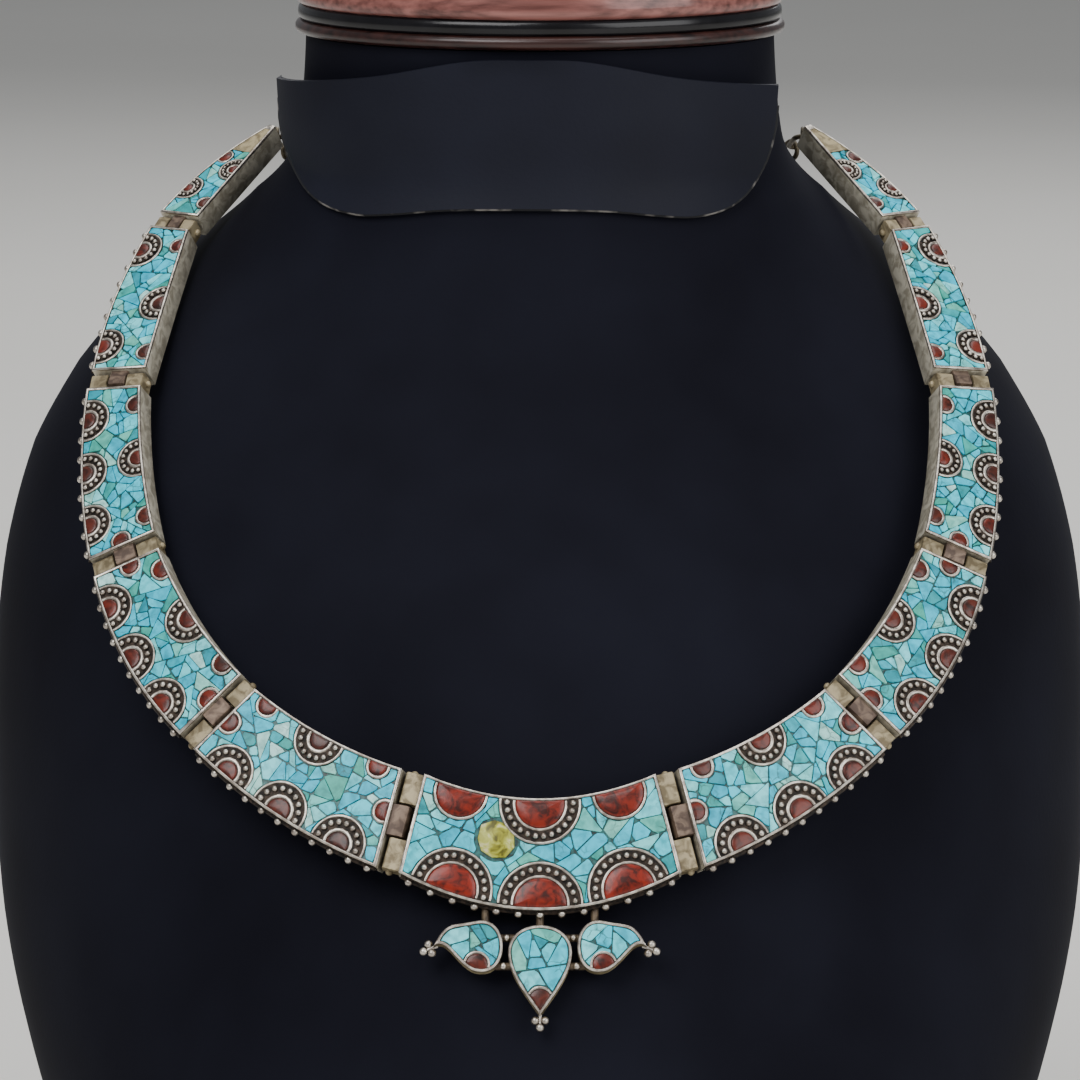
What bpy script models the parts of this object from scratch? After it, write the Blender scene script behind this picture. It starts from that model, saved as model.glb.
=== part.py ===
"""Collar necklace of eleven hinged metal panels inlaid with stone, on a plain black neck bust.

Blender 4.5, metres, +Z up, the front of the necklace faces -Y. The origin is the middle of the
bust's flat base. The right half (+X) and the centre of the necklace are modelled, and the left half
is their mirror image. A chain at the nape closes it.

A panel is a flat tray between a curved inner edge and a curved outer edge. In its own frame r runs
outward along its starting end, s runs along the panel and h rises from the face.
"""

import math

import bmesh
import bpy
from mathutils import Matrix, Vector

# Place of the centre panel: how far its inner edge's chord lies in front of and above the origin
FRONT_REACH = 0.0619
FRONT_HEIGHT = 0.1287
FRONT_LEAN = math.radians(23.3)

# Tray of a panel
CASE_DEPTH = 0.0052
WALL = 0.0007
FLOOR = 0.0008
CENTRE_LENGTH = 0.0416
PANEL_LENGTH = 0.033
PANEL_WIDTH = 0.0185
TIP_WIDTH = 0.0015
EDGE_STEPS = 6

# Hinge between two panels: the gap between their ends, and the depth of its axis under the face
HINGE_GAP = 0.0036
HINGE_DEPTH = 0.0029
BARREL_RADIUS = 0.0014
PIN_RADIUS = 0.0005
BORE_SIDES = 6
CLEARANCE = 0.0003

# Row of metal grains soldered on the centre panel's outer wall
GRAIN_DEPTH = 0.0016
GRAIN_RADIUS = 0.0007
GRAIN_SINK = 0.0003

# Inlay, and the half-round ornaments that stand on it
INLAY_DEPTH = 0.0003
BEZEL_DEPTH = 0.00005
BEZEL_WALL = 0.00055
GRAIN_BAND = 0.0017
CORAL_RISE = 0.0002
ROSETTE_SHARE = 1 / 6
MOON_SHARE = 0.0727
ROUND_STEPS = 10
BALL_RINGS = 3
WIRE_SIDES = 5

# Large coral cabochons of the centre panel
CABOCHON_POCKET = 0.002
CABOCHON_RISE = 0.0004

# Drops under the centre panel
DROP_DEPTH = 0.0032
DROP_RECESS = 0.001
DROP_WALL = 0.0006
DROP_FLOOR = 0.0006
PEAR_TOP = 0.0026
PEAR_LENGTH = 0.0164
PEAR_WIDTH = 0.0114
PAISLEY_LENGTH = 0.0124
PAISLEY_WIDTH = 0.0093
PAISLEY_START = 0.0067
PAISLEY_LEVEL = 0.0064
PAISLEY_BEND = 0.0016
DROP_MOON_RADIUS = 0.0025
PEAR_MOON = 0.82
PAISLEY_MOON = 0.0033
POST_RADIUS = 0.0007
PAISLEY_POST_SIDE = 0.0098
TREFOIL_RADIUS = 0.00078
DROP_STEPS = 14
PEAR_SHARPNESS = 1.3
CROWDED_SHARE = 0.98

# Closing chain, tip rings and hook. The chain leaves the tips backward and a little down, and its
# middle hangs NAPE_GAP behind the nape, NAPE_ABOVE over the necklace's front.
RING_RADIUS = 0.0016
RING_WIRE = 0.00045
RING_SEAT_SHARE = 0.9
CHAIN_LEAVES = (0.0, 0.96, -0.28)
CHAIN_LEAVING = 0.018
CHAIN_PASSING = 0.032
NAPE_GAP = 0.003
NAPE_ABOVE = 0.0833
PATH_STEPS = 400
LINK_WIRE = 0.0005
LINK_WIDTH = 0.0044
LINK_PITCH = 0.0072
LINK_FUSE = 0.0004
HOOK_LENGTH = 0.0125
HOOK_RADIUS = 0.0021
HOOK_WIRE = 0.00055
HOOK_STEPS = 7
HOOK_SWEEP = math.radians(250)
HOOK_OPENING = math.radians(160)

# Side panels, from the centre outward. length is a share of PANEL_LENGTH and end_width one of
# PANEL_WIDTH; the bows are shares of the panel's own length; the angles are in degrees.
SIDE_PANELS = (
    dict(length=0.982, end_width=0.843, start_cut=16.5, end_cut=16.2, bend=14.4,
         inner_bow=0.045, outer_bow=0.062),
    dict(length=1.008, end_width=0.735, start_cut=8.7, end_cut=15.7, bend=10.9,
         inner_bow=0.045, outer_bow=0.072),
    dict(length=1.006, end_width=0.616, start_cut=6.5, end_cut=17.2, bend=5.3,
         inner_bow=0.030, outer_bow=0.045),
    dict(length=1.094, end_width=0.476, start_cut=-3.5, end_cut=15.5, bend=12.7,
         inner_bow=0.004, outer_bow=0.045),
    dict(length=0.822, end_width=None, start_cut=5.0, end_cut=8.8, bend=5.5,
         inner_bow=0.0, outer_bow=0.070),
)
CENTRE_PANEL = dict(cut=14.3, inner_bow=0.109, outer_bow=0.166, grains=13)

# Ornaments of each panel: the edge it stands on, its place along that edge, and how its radius compares
# with ROSETTE_SHARE or MOON_SHARE of CENTRE_LENGTH or PANEL_LENGTH. An end edge is measured from the
# inner edge outward.
CENTRE_ORNAMENTS = (
    ("rosette", "inner", 0.50, 1.071), ("moon", "inner", 0.145, 1.65), ("moon", "inner", 0.855, 1.65),
    ("rosette", "outer", 0.165, 1.095), ("rosette", "outer", 0.50, 1.126),
    ("rosette", "outer", 0.835, 1.095),
)
SIDE_ORNAMENTS = (
    (("moon", "inner", 0.11, 1.0), ("rosette", "inner", 0.51, 0.90), ("moon", "inner", 0.90, 1.0),
     ("moon", "start", 0.45, 0.98), ("moon", "end", 0.49, 1.0),
     ("rosette", "outer", 0.18, 0.99), ("rosette", "outer", 0.515, 1.0), ("rosette", "outer", 0.835, 0.93)),
    (("moon", "inner", 0.11, 1.0), ("rosette", "inner", 0.50, 0.88), ("moon", "inner", 0.89, 0.98),
     ("moon", "start", 0.47, 1.0), ("moon", "end", 0.45, 0.92),
     ("rosette", "outer", 0.175, 0.95), ("rosette", "outer", 0.50, 0.93), ("rosette", "outer", 0.825, 0.90)),
    (("moon", "inner", 0.10, 0.90), ("rosette", "inner", 0.52, 0.76), ("moon", "inner", 0.90, 0.86),
     ("moon", "start", 0.50, 0.88),
     ("rosette", "outer", 0.17, 0.83), ("rosette", "outer", 0.50, 0.82), ("rosette", "outer", 0.83, 0.83)),
    (("moon", "inner", 0.09, 0.88), ("rosette", "inner", 0.46, 0.80), ("moon", "inner", 0.90, 0.80),
     ("rosette", "outer", 0.14, 0.82), ("rosette", "outer", 0.85, 0.80)),
    (("moon", "inner", 0.12, 0.70), ("rosette", "inner", 0.56, 0.56),
     ("rosette", "outer", 0.26, 0.58), ("moon", "outer", 0.68, 0.75)),
)

# Ties between the drops: distance down from the panel's rim, and where each starts and ends sideways
DROP_TIES = (
    dict(down=0.0047, start=0.0046, end=0.0073),
    dict(down=0.0098, start=0.0051, end=0.0080),
)

# Level sections of the bust, from its base up. Each is an oval whose front half ends at front, whose
# back half ends at back, and whose widest line lies at side, all measured along Y. Those of the foot
# lie at a share of FRONT_HEIGHT over the base, and those of the chest and neck lie above the
# necklace's front, or below it where the number is negative.
BUST_FOOT = (
    dict(share=0.0000, half_width=0.0780, front=-0.0820, side=0.010, back=0.0780),
    dict(share=0.1166, half_width=0.0840, front=-0.0880, side=0.014, back=0.0840),
    dict(share=0.3108, half_width=0.0930, front=-0.0900, side=0.024, back=0.0880),
    dict(share=0.4817, half_width=0.1010, front=-0.0840, side=0.038, back=0.0900),
)
BUST_CHEST = (
    dict(above=-0.0467, half_width=0.1060, front=-0.0759, side=0.050, back=0.0900),
    dict(above=-0.0247, half_width=0.1080, front=-0.0664, side=0.058, back=0.0900),
    dict(above=-0.0021, half_width=0.1080, front=-0.0567, side=0.061, back=0.0900),
    dict(above=0.0213, half_width=0.1055, front=-0.0450, side=0.061, back=0.0890),
    dict(above=0.0413, half_width=0.1000, front=-0.0330, side=0.061, back=0.0870),
    dict(above=0.0573, half_width=0.0910, front=-0.0230, side=0.061, back=0.0840),
    dict(above=0.0703, half_width=0.0800, front=-0.0150, side=0.060, back=0.0800),
)
BUST_NECK = (
    dict(above=0.0823, half_width=0.0670, front=-0.0090, side=0.056, back=0.0750),
    dict(above=0.0933, half_width=0.0550, front=-0.0055, side=0.046, back=0.0700),
    dict(above=0.1013, half_width=0.0480, front=-0.0040, side=0.038, back=0.0660),
    dict(above=0.1093, half_width=0.0460, front=-0.0040, side=0.0345, back=0.0650),
    dict(above=0.1243, half_width=0.0450, front=-0.0040, side=0.034, back=0.0650),
)
BUST_SIDES = 32
BUST_STEPS = 2

# Turned cap on the neck: heights above the neck and how far each step stands out from it
CAP_STEPS = (
    dict(rise=0.0003, reach=0.0000), dict(rise=0.0010, reach=0.0016), dict(rise=0.0026, reach=0.0016),
    dict(rise=0.0034, reach=0.0006), dict(rise=0.0058, reach=0.0006), dict(rise=0.0066, reach=0.0014),
    dict(rise=0.0120, reach=0.0008), dict(rise=0.0170, reach=-0.0030), dict(rise=0.0210, reach=-0.0110),
    dict(rise=0.0235, reach=-0.0220),
)

# Stiff flap over the front of the neck, which stands off at its sides and hangs a little to the left:
# its right half's outline gives points sideways of its middle and above the necklace's front
FLAP_THICKNESS = 0.0012
FLAP_HALF_WIDTH = 0.0492
FLAP_SHIFT = -0.0026
FLAP_BACK = 0.05
FLAP_OUTLINE = (
    (0.0000, 0.0953), (0.0150, 0.0949), (0.0250, 0.0937), (0.0325, 0.0932), (0.0400, 0.0953),
    (0.0447, 0.1008), (0.0470, 0.1083), (0.0476, 0.1161), (0.0110, 0.1227), (0.0000, 0.1229),
)

SMOOTH_ANGLE = math.radians(40)

SILVER = dict(colour=(0.60, 0.57, 0.50, 1), roughness=0.35, metallic=1.0)
BRASS = dict(colour=(0.52, 0.45, 0.30, 1), roughness=0.4, metallic=1.0)
TURQUOISE = dict(colour=(0.12, 0.50, 0.56, 1), roughness=0.4, metallic=0.0)
CORAL = dict(colour=(0.45, 0.05, 0.03, 1), roughness=0.25, metallic=0.0)
BLACK_LEATHERETTE = dict(colour=(0.012, 0.012, 0.016, 1), roughness=0.6, metallic=0.0)
DARK_WOOD = dict(colour=(0.17, 0.07, 0.05, 1), roughness=0.3, metallic=0.0)


def clear_scene():
    """Removes what the opened file holds, and makes the collections for the model and its cutters."""
    for thing in list(bpy.data.objects):
        bpy.data.objects.remove(thing, do_unlink=True)
    collections = []
    for name in ("collar_necklace", "cutters"):
        collection = bpy.data.collections.new(name)
        bpy.context.scene.collection.children.link(collection)
        collections.append(collection)
    return collections


PARTS, CUTTERS = clear_scene()


def material(name, look):
    """A Principled material of one colour."""
    found = bpy.data.materials.get(name)
    if found:
        return found
    made = bpy.data.materials.new(name)
    made.use_nodes = True
    shader = made.node_tree.nodes["Principled BSDF"]
    shader.inputs["Base Color"].default_value = look["colour"]
    shader.inputs["Roughness"].default_value = look["roughness"]
    shader.inputs["Metallic"].default_value = look["metallic"]
    return made


def new_object(name, mesh, place=None):
    """Links a mesh to the model's collection under this name."""
    made = bpy.data.objects.new(name, mesh)
    made.matrix_world = place if place is not None else Matrix.Identity(4)
    PARTS.objects.link(made)
    return made


def as_mesh(source, weld=1e-6):
    """Replaces a curve or an object with modifiers by a plain welded mesh in world space."""
    bpy.context.view_layer.update()
    seen = source.evaluated_get(bpy.context.evaluated_depsgraph_get())
    mesh = bpy.data.meshes.new_from_object(seen)
    mesh.transform(source.matrix_world)
    mesh.materials.clear()
    shape = bmesh.new()
    shape.from_mesh(mesh)
    bmesh.ops.remove_doubles(shape, verts=shape.verts, dist=weld)
    shape.to_mesh(mesh)
    shape.free()
    name = source.name
    bpy.data.objects.remove(source, do_unlink=True)
    mesh.name = name
    return new_object(name, mesh)


def prism(name, outlines, low, high, place):
    """A flat outline, with any holes as further outlines, filled from height low to high."""
    curve = bpy.data.curves.new(name, "CURVE")
    curve.dimensions = "2D"
    curve.fill_mode = "BOTH"
    curve.extrude = (high - low) / 2
    for outline in outlines:
        spline = curve.splines.new("POLY")
        spline.points.add(len(outline) - 1)
        for point, (x, y) in zip(spline.points, outline):
            point.co = (x, y, 0.0, 1.0)
        spline.use_cyclic_u = True
    flat = new_object(name, curve, place @ Matrix.Translation((0, 0, (low + high) / 2)))
    return as_mesh(flat)


def turned(name, profile, place, steps=ROUND_STEPS):
    """A profile of (radius, height) points, from the top of its axis down its outer side, turned."""
    mesh = bpy.data.meshes.new(name)
    edges = [(i, i + 1) for i in range(len(profile) - 1)]
    mesh.from_pydata([(radius, 0, height) for radius, height in profile], edges, [])
    made = new_object(name, mesh, place)
    screw = made.modifiers.new("turn", "SCREW")
    screw.steps = steps
    screw.render_steps = steps
    screw.use_merge_vertices = True
    screw.merge_threshold = 1e-6
    return as_mesh(made)


def ball(name, centre, radius, pole):
    """A grain of metal: a faceted ball with one pole along the direction pole."""
    mesh = bpy.data.meshes.new(name)
    shape = bmesh.new()
    bmesh.ops.create_uvsphere(shape, u_segments=ROUND_STEPS, v_segments=BALL_RINGS, radius=radius)
    shape.to_mesh(mesh)
    shape.free()
    turn = pole.to_track_quat("Z", "Y").to_matrix().to_4x4()
    return new_object(name, mesh, Matrix.Translation(centre) @ turn)


def rod(name, start, end, radius, sides=8):
    """A round rod between two points."""
    mesh = bpy.data.meshes.new(name)
    shape = bmesh.new()
    length = (end - start).length
    bmesh.ops.create_cone(shape, cap_ends=True, segments=sides, radius1=radius, radius2=radius, depth=length)
    shape.to_mesh(mesh)
    shape.free()
    turn = (end - start).to_track_quat("Z", "Y").to_matrix().to_4x4()
    return new_object(name, mesh, Matrix.Translation((start + end) / 2) @ turn)


def gathered(name, pieces):
    """Several pieces that don't meet, as one mesh in world space."""
    shape = bmesh.new()
    for piece in pieces:
        mesh = piece.data.copy()
        mesh.transform(piece.matrix_world)
        shape.from_mesh(mesh)
        bpy.data.meshes.remove(mesh)
        bpy.data.objects.remove(piece, do_unlink=True)
    mesh = bpy.data.meshes.new(name)
    shape.to_mesh(mesh)
    shape.free()
    return new_object(name, mesh)


def combined(base, tool, operation):
    """The base joined with, cut by, or kept inside the tool."""
    tool.hide_render = True
    tool.display_type = "WIRE"
    PARTS.objects.unlink(tool)
    CUTTERS.objects.link(tool)
    boolean = base.modifiers.new(operation.lower(), "BOOLEAN")
    boolean.operation = operation
    boolean.object = tool
    result = as_mesh(base, weld=2e-7)
    bpy.data.objects.remove(tool, do_unlink=True)
    return result


def finished(piece, name, material_name, look):
    """Names a piece, gives it its material and shades its round faces smooth."""
    piece.name = name
    piece.data.name = name
    piece.data.materials.append(material(material_name, look))
    piece.data.shade_smooth()
    piece.data.set_sharp_from_angle(angle=SMOOTH_ANGLE)
    return piece


def mirrored(piece, name):
    """The left-hand copy of a right-hand piece."""
    mesh = piece.data.copy()
    mesh.name = name
    mesh.transform(piece.matrix_world)
    mesh.transform(Matrix.Scale(-1, 4, (1, 0, 0)))
    mesh.flip_normals()
    return new_object(name, mesh)


class Panel:
    """A flat panel's frame and outline. Its ornaments are sized by its unit."""

    def __init__(self, corner, out, along, face, length, widths, cuts, bows, unit):
        self.corner, self.out, self.along, self.face = corner, out, along, face
        self.length = length
        self.unit = unit
        start_width, end_width = widths
        start_cut, end_cut = (math.radians(angle) for angle in cuts)
        turn = start_cut + end_cut
        self.end_out = out * math.cos(turn) + along * math.sin(turn)
        self.end_along = along * math.cos(turn) - out * math.sin(turn)
        self.inner_start = Vector((0, 0))
        self.outer_start = Vector((start_width, 0))
        self.inner_end = Vector((-math.sin(start_cut), math.cos(start_cut))) * length
        self.outer_end = self.inner_end + Vector((math.cos(turn), math.sin(turn))) * end_width
        self.inner_bow, self.outer_bow = (bow * length for bow in bows)
        self.end_width = end_width

    def matrix(self):
        """The panel's frame: r, s and h as columns."""
        columns = Matrix((self.out, self.along, self.face)).transposed().to_4x4()
        return Matrix.Translation(self.corner) @ columns

    def point(self, flat, height=0.0):
        """A point of the panel, from its r and s and its height over the face."""
        return self.corner + self.out * flat[0] + self.along * flat[1] + self.face * height

    def edge(self, side, share):
        """A point of the inner or outer edge, at a share of its length."""
        start, end, bow = (
            (self.inner_start, self.inner_end, self.inner_bow)
            if side == "inner"
            else (self.outer_start, self.outer_end, self.outer_bow)
        )
        chord = end - start
        outward = Vector((chord.y, -chord.x)).normalized()
        return start + chord * share + outward * (4 * bow * share * (1 - share))

    def inset(self, side, share, distance):
        """A point that distance inside an edge."""
        inner, outer = self.edge("inner", share), self.edge("outer", share)
        across = (outer - inner).normalized()
        return inner + across * distance if side == "inner" else outer - across * distance

    def span(self, distance, least=0.0012):
        """The shares of the length between which a body inset by that distance fits."""
        first, last = distance / self.length, 1 - distance / self.length
        while (self.edge("outer", last) - self.edge("inner", last)).length < 2 * distance + least:
            last -= 0.01
        return first, last

    def outline(self, distance=0.0):
        """The panel's outline, inset by a distance."""
        first, last = self.span(distance) if distance else (0.0, 1.0)
        shares = [first + (last - first) * i / EDGE_STEPS for i in range(EDGE_STEPS + 1)]
        inner = [self.inset("inner", share, distance) for share in shares]
        outer = [self.inset("outer", share, distance) for share in reversed(shares)]
        return inner + outer

    def seat(self, edge, place, distance):
        """A point on the inset outline where an ornament is centred."""
        first, last = self.span(distance)
        if edge in ("inner", "outer"):
            return self.inset(edge, first + (last - first) * place, distance)
        share = first if edge == "start" else last
        inner, outer = self.inset("inner", share, distance), self.inset("outer", share, distance)
        return inner.lerp(outer, place)


def centre_panel():
    """The panel at the front, its face leaning back."""
    facing = Vector((0, -math.cos(FRONT_LEAN), math.sin(FRONT_LEAN)))
    down = Vector((0, -math.sin(FRONT_LEAN), -math.cos(FRONT_LEAN)))
    sideways = Vector((1, 0, 0))
    cut = math.radians(CENTRE_PANEL["cut"])
    return Panel(
        corner=Vector((-CENTRE_LENGTH / 2, -FRONT_REACH, FRONT_HEIGHT)),
        out=down * math.cos(cut) - sideways * math.sin(cut),
        along=sideways * math.cos(cut) + down * math.sin(cut),
        face=facing,
        length=CENTRE_LENGTH,
        widths=(PANEL_WIDTH, PANEL_WIDTH),
        cuts=(CENTRE_PANEL["cut"], CENTRE_PANEL["cut"]),
        bows=(CENTRE_PANEL["inner_bow"], CENTRE_PANEL["outer_bow"]),
        unit=CENTRE_LENGTH,
    )


def hinge_axis(panel):
    """The inner end of the hinge axis past a panel's far end."""
    return panel.point(panel.inner_end, -HINGE_DEPTH) + panel.end_along * (HINGE_GAP / 2)


def next_panel(before, row):
    """The panel that follows another one, turned back about the hinge between them."""
    turn = Matrix.Rotation(-math.radians(row["bend"]), 3, before.end_out)
    axis = hinge_axis(before)
    end_width = TIP_WIDTH if row["end_width"] is None else row["end_width"] * PANEL_WIDTH
    return Panel(
        corner=axis + turn @ (before.end_along * (HINGE_GAP / 2) + before.face * HINGE_DEPTH),
        out=before.end_out,
        along=turn @ before.end_along,
        face=turn @ before.face,
        length=row["length"] * PANEL_LENGTH,
        widths=(before.end_width, end_width),
        cuts=(row["start_cut"], row["end_cut"]),
        bows=(row["inner_bow"], row["outer_bow"]),
        unit=PANEL_LENGTH,
    )


def barrels(name, axis, out, towards, face, width, thirds):
    """Hinge barrels, each with the web that joins it to its panel's end wall, along the hinge axis."""
    reach = HINGE_GAP / 2 + WALL / 2
    arc = [math.radians(angle) for angle in (75, 37.5, 0, -37.5, -75)]
    shell = [(BARREL_RADIUS * math.cos(a), BARREL_RADIUS * math.sin(a)) for a in arc]
    shell = [(-reach, shell[0][1])] + shell + [(-reach, shell[-1][1])]
    bore_radius = PIN_RADIUS + CLEARANCE
    bore = [(bore_radius * math.cos(a), bore_radius * math.sin(a))
            for a in (2 * math.pi * i / BORE_SIDES for i in range(BORE_SIDES))]
    columns = Matrix((towards, face, towards.cross(face))).transposed().to_4x4()
    place = Matrix.Translation(axis) @ columns
    rising = 1 if towards.cross(face).dot(out) > 0 else -1
    pieces = []
    for third in thirds:
        low, high = third * width / 3 + CLEARANCE / 2, (third + 1) * width / 3 - CLEARANCE / 2
        if rising < 0:
            low, high = -high, -low
        pieces.append(prism(name, [shell, bore], low, high, place))
    return gathered(name, pieces)


def tray(name, panel):
    """A panel's open metal tray."""
    place = panel.matrix()
    body = prism(name, [panel.outline()], -CASE_DEPTH, 0, place)
    pocket = prism("pocket", [panel.outline(WALL)], FLOOR - CASE_DEPTH, CASE_DEPTH, place)
    return combined(body, pocket, "DIFFERENCE")


def wall_grains(panel, count):
    """The grains along a panel's outer wall."""
    made = []
    for i in range(count):
        share = (i + 0.5) / count
        edge, outside = panel.edge("outer", share), panel.inset("outer", share, GRAIN_SINK - GRAIN_RADIUS)
        centre = panel.point(outside, -GRAIN_DEPTH)
        made.append(ball("grain", centre, GRAIN_RADIUS, centre - panel.point(edge, -GRAIN_DEPTH)))
    return gathered("grains", made)


def end_barrels(panel):
    """The outer two barrels past a panel's far end."""
    return barrels("barrels", hinge_axis(panel), panel.end_out, panel.end_along, panel.face,
                   panel.end_width, (0, 2))


def case(name, panel, extra):
    """A panel's tray with what is soldered to it."""
    body = tray(name, panel)
    for piece in extra:
        body = combined(body, piece, "UNION")
    return finished(body, name, "silver", SILVER)


def centre_case(name, panel):
    """The centre panel's tray, with its grains, the barrels at both ends and the drops' metal."""
    right = end_barrels(panel)
    left = mirrored(right, "barrels_left")
    grains = wall_grains(panel, CENTRE_PANEL["grains"])
    return case(name, panel, [grains, left, right, *drop_settings(panel)])


def side_case(name, panel, before, is_tip):
    """A side panel's tray: the middle barrel at its start, and two barrels or a ring at its far end."""
    width = (panel.outer_start - panel.inner_start).length
    start = barrels("barrels", hinge_axis(before), panel.out, -panel.along, panel.face, width, (1,))
    if is_tip:
        place = link_frame(ring_centre(panel), Vector(CHAIN_LEAVES).normalized(), is_upright=True)
        return case(name, panel, [start, torus("ring", RING_RADIUS, RING_WIRE, 0.0, place)])
    return case(name, panel, [start, end_barrels(panel)])


def ornament_radius(kind, share, panel):
    """The outer radius of a rosette or a moon."""
    return share * panel.unit * (ROSETTE_SHARE if kind == "rosette" else MOON_SHARE)


def ornament_profile(kind, radius, has_cabochon):
    """The turned section of an ornament: a band for grains round a raised stone, or a seat for one."""
    base, top = -2 * INLAY_DEPTH, -BEZEL_DEPTH
    outside = [(radius, top), (radius, base), (0, base)]
    if has_cabochon:
        return [(0, top)] + outside
    if kind == "moon":
        return [(0, CORAL_RISE)] + outside
    stone = stone_radius(kind, radius)
    return [(0, CORAL_RISE), (stone, CORAL_RISE), (stone, top)] + outside


def stone_radius(kind, radius):
    """The radius of the stone inside an ornament."""
    if kind == "moon":
        return radius - BEZEL_WALL
    return radius - 2 * BEZEL_WALL - GRAIN_BAND


def inlay(name, panel, ornaments, has_cabochons=False):
    """The stone field that fills a tray, with its ornaments standing on it."""
    place = panel.matrix()
    distance = WALL + CLEARANCE
    low = FLOOR + CLEARANCE - CASE_DEPTH
    body = prism(name, [panel.outline()], low, -INLAY_DEPTH, place)
    pieces, pockets = [], []
    for kind, edge, along, share in ornaments:
        radius = ornament_radius(kind, share, panel)
        seat = panel.seat(edge, along, distance)
        spot = place @ Matrix.Translation((seat.x, seat.y, 0))
        pieces.append(turned("ornament", ornament_profile(kind, radius, has_cabochons), spot))
        if has_cabochons:
            deep = stone_radius(kind, radius)
            profile = [(0, CASE_DEPTH), (deep, CASE_DEPTH), (deep, -CABOCHON_POCKET), (0, -CABOCHON_POCKET)]
            pockets.append(turned("pocket", profile, spot))
    body = combined(body, gathered("ornaments", pieces), "UNION")
    trim = prism("trim", [panel.outline(distance)], -2 * CASE_DEPTH, CASE_DEPTH, place)
    body = combined(body, trim, "INTERSECT")
    if pockets:
        body = combined(body, gathered("pockets", pockets), "DIFFERENCE")
    return finished(body, name, "turquoise", TURQUOISE)


def cabochon(name, panel, ornament):
    """A large half-round coral set in one of the centre panel's ornaments."""
    kind, edge, along, share = ornament
    place = panel.matrix()
    distance = WALL + CLEARANCE
    seat = panel.seat(edge, along, distance)
    radius = stone_radius(kind, ornament_radius(kind, share, panel)) - CLEARANCE
    low = CLEARANCE - CABOCHON_POCKET
    profile = [(0, CABOCHON_RISE), (radius * 0.6, CABOCHON_RISE * 0.7), (radius, -BEZEL_DEPTH),
               (radius, low), (0, low)]
    body = turned(name, profile, place @ Matrix.Translation((seat.x, seat.y, 0)))
    trim = prism("trim", [panel.outline(distance)], -2 * CASE_DEPTH, CASE_DEPTH, place)
    return finished(combined(body, trim, "INTERSECT"), name, "coral", CORAL)


def pin(name, panel):
    """The pin through the barrels past a panel's far end."""
    axis = hinge_axis(panel)
    body = rod(name, axis, axis + panel.end_out * panel.end_width, PIN_RADIUS)
    return finished(body, name, "brass", BRASS)


def pear(length, width):
    """A pear outline of (down, sideways) points, round at 0 and pointed at its length."""
    angles = [2 * math.pi * (i + 0.5) / DROP_STEPS for i in range(DROP_STEPS)]
    angles[:1] = [0.0, angles[0]]
    swell = [math.sin(a) * abs(math.sin(a / 2)) ** PEAR_SHARPNESS for a in angles]
    widest = max(swell)
    return [(length / 2 * (1 + math.cos(a)), width / 2 * s / widest) for a, s in zip(angles, swell)]


def paisley(side):
    """A curled drop that points sideways, away from the middle, with its tail bent over."""
    points = []
    for reach, swell in pear(PAISLEY_LENGTH, PAISLEY_WIDTH):
        share = max(0.0, (reach - PAISLEY_WIDTH / 2) / (PAISLEY_LENGTH - PAISLEY_WIDTH / 2))
        bend = PAISLEY_BEND * math.sin(math.pi * share ** 2)
        points.append((PAISLEY_LEVEL - bend + swell, side * (PAISLEY_START + reach)))
    return points


def shrunk(points, distance):
    """A closed outline moved inward by a distance, without the points that crowd a sharp tip."""
    vectors = [Vector(point) for point in points]
    loop = list(zip(vectors, vectors[1:] + vectors[:1]))
    sense = 1 if sum(a.x * b.y - b.x * a.y for a, b in loop) > 0 else -1
    moved = []
    for i, here in enumerate(vectors):
        before = (here - vectors[i - 1]).normalized()
        after = (vectors[(i + 1) % len(vectors)] - here).normalized()
        inward = Vector((-before.y - after.y, before.x + after.x)).normalized() * sense
        share = abs(inward.dot(Vector((-before.y, before.x))))
        spot = here + inward * (distance / share)
        nearest = min((spot - closest_on(spot, a, b)).length for a, b in loop)
        if nearest > CROWDED_SHARE * distance:
            moved.append((spot.x, spot.y))
    return moved


def closest_on(spot, start, end):
    """The point of a straight edge that lies nearest to a spot."""
    chord = end - start
    share = min(1.0, max(0.0, (spot - start).dot(chord) / chord.length_squared))
    return start + chord * share


def drop_outlines():
    """The three drops' outlines: the pear in the middle and a paisley on each side."""
    middle = [(PEAR_TOP + down, side) for down, side in pear(PEAR_LENGTH, PEAR_WIDTH)]
    return {"middle": middle, "right": paisley(1), "left": paisley(-1)}


def drop_frame(panel):
    """Frame at the middle of the centre panel's outer rim: down its face, sideways, and outward."""
    down = Vector((0, -math.sin(FRONT_LEAN), -math.cos(FRONT_LEAN)))
    rim = panel.point(panel.edge("outer", 0.5))
    columns = Matrix((down, Vector((1, 0, 0)), panel.face)).transposed().to_4x4()
    return Matrix.Translation(rim) @ columns


def trefoil(tip, direction, place, level):
    """Three grains on a stalk at the point of a drop."""
    side = Vector((-direction.y, direction.x))
    pair, last = 0.8 * TREFOIL_RADIUS, 2.4 * TREFOIL_RADIUS
    apart = side * 1.1 * TREFOIL_RADIUS
    spots = (tip + direction * pair + apart, tip + direction * pair - apart, tip + direction * last)
    out = place.to_3x3() @ Vector((0, 0, 1))
    root, end = tip - direction * TREFOIL_RADIUS, spots[2]
    root, end = (place @ Vector((spot.x, spot.y, level)) for spot in (root, end))
    stalk = rod("stalk", root, end, TREFOIL_RADIUS / 2)
    balls = [ball("grain", place @ Vector((spot.x, spot.y, level)), TREFOIL_RADIUS, out) for spot in spots]
    return [stalk] + balls


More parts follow.
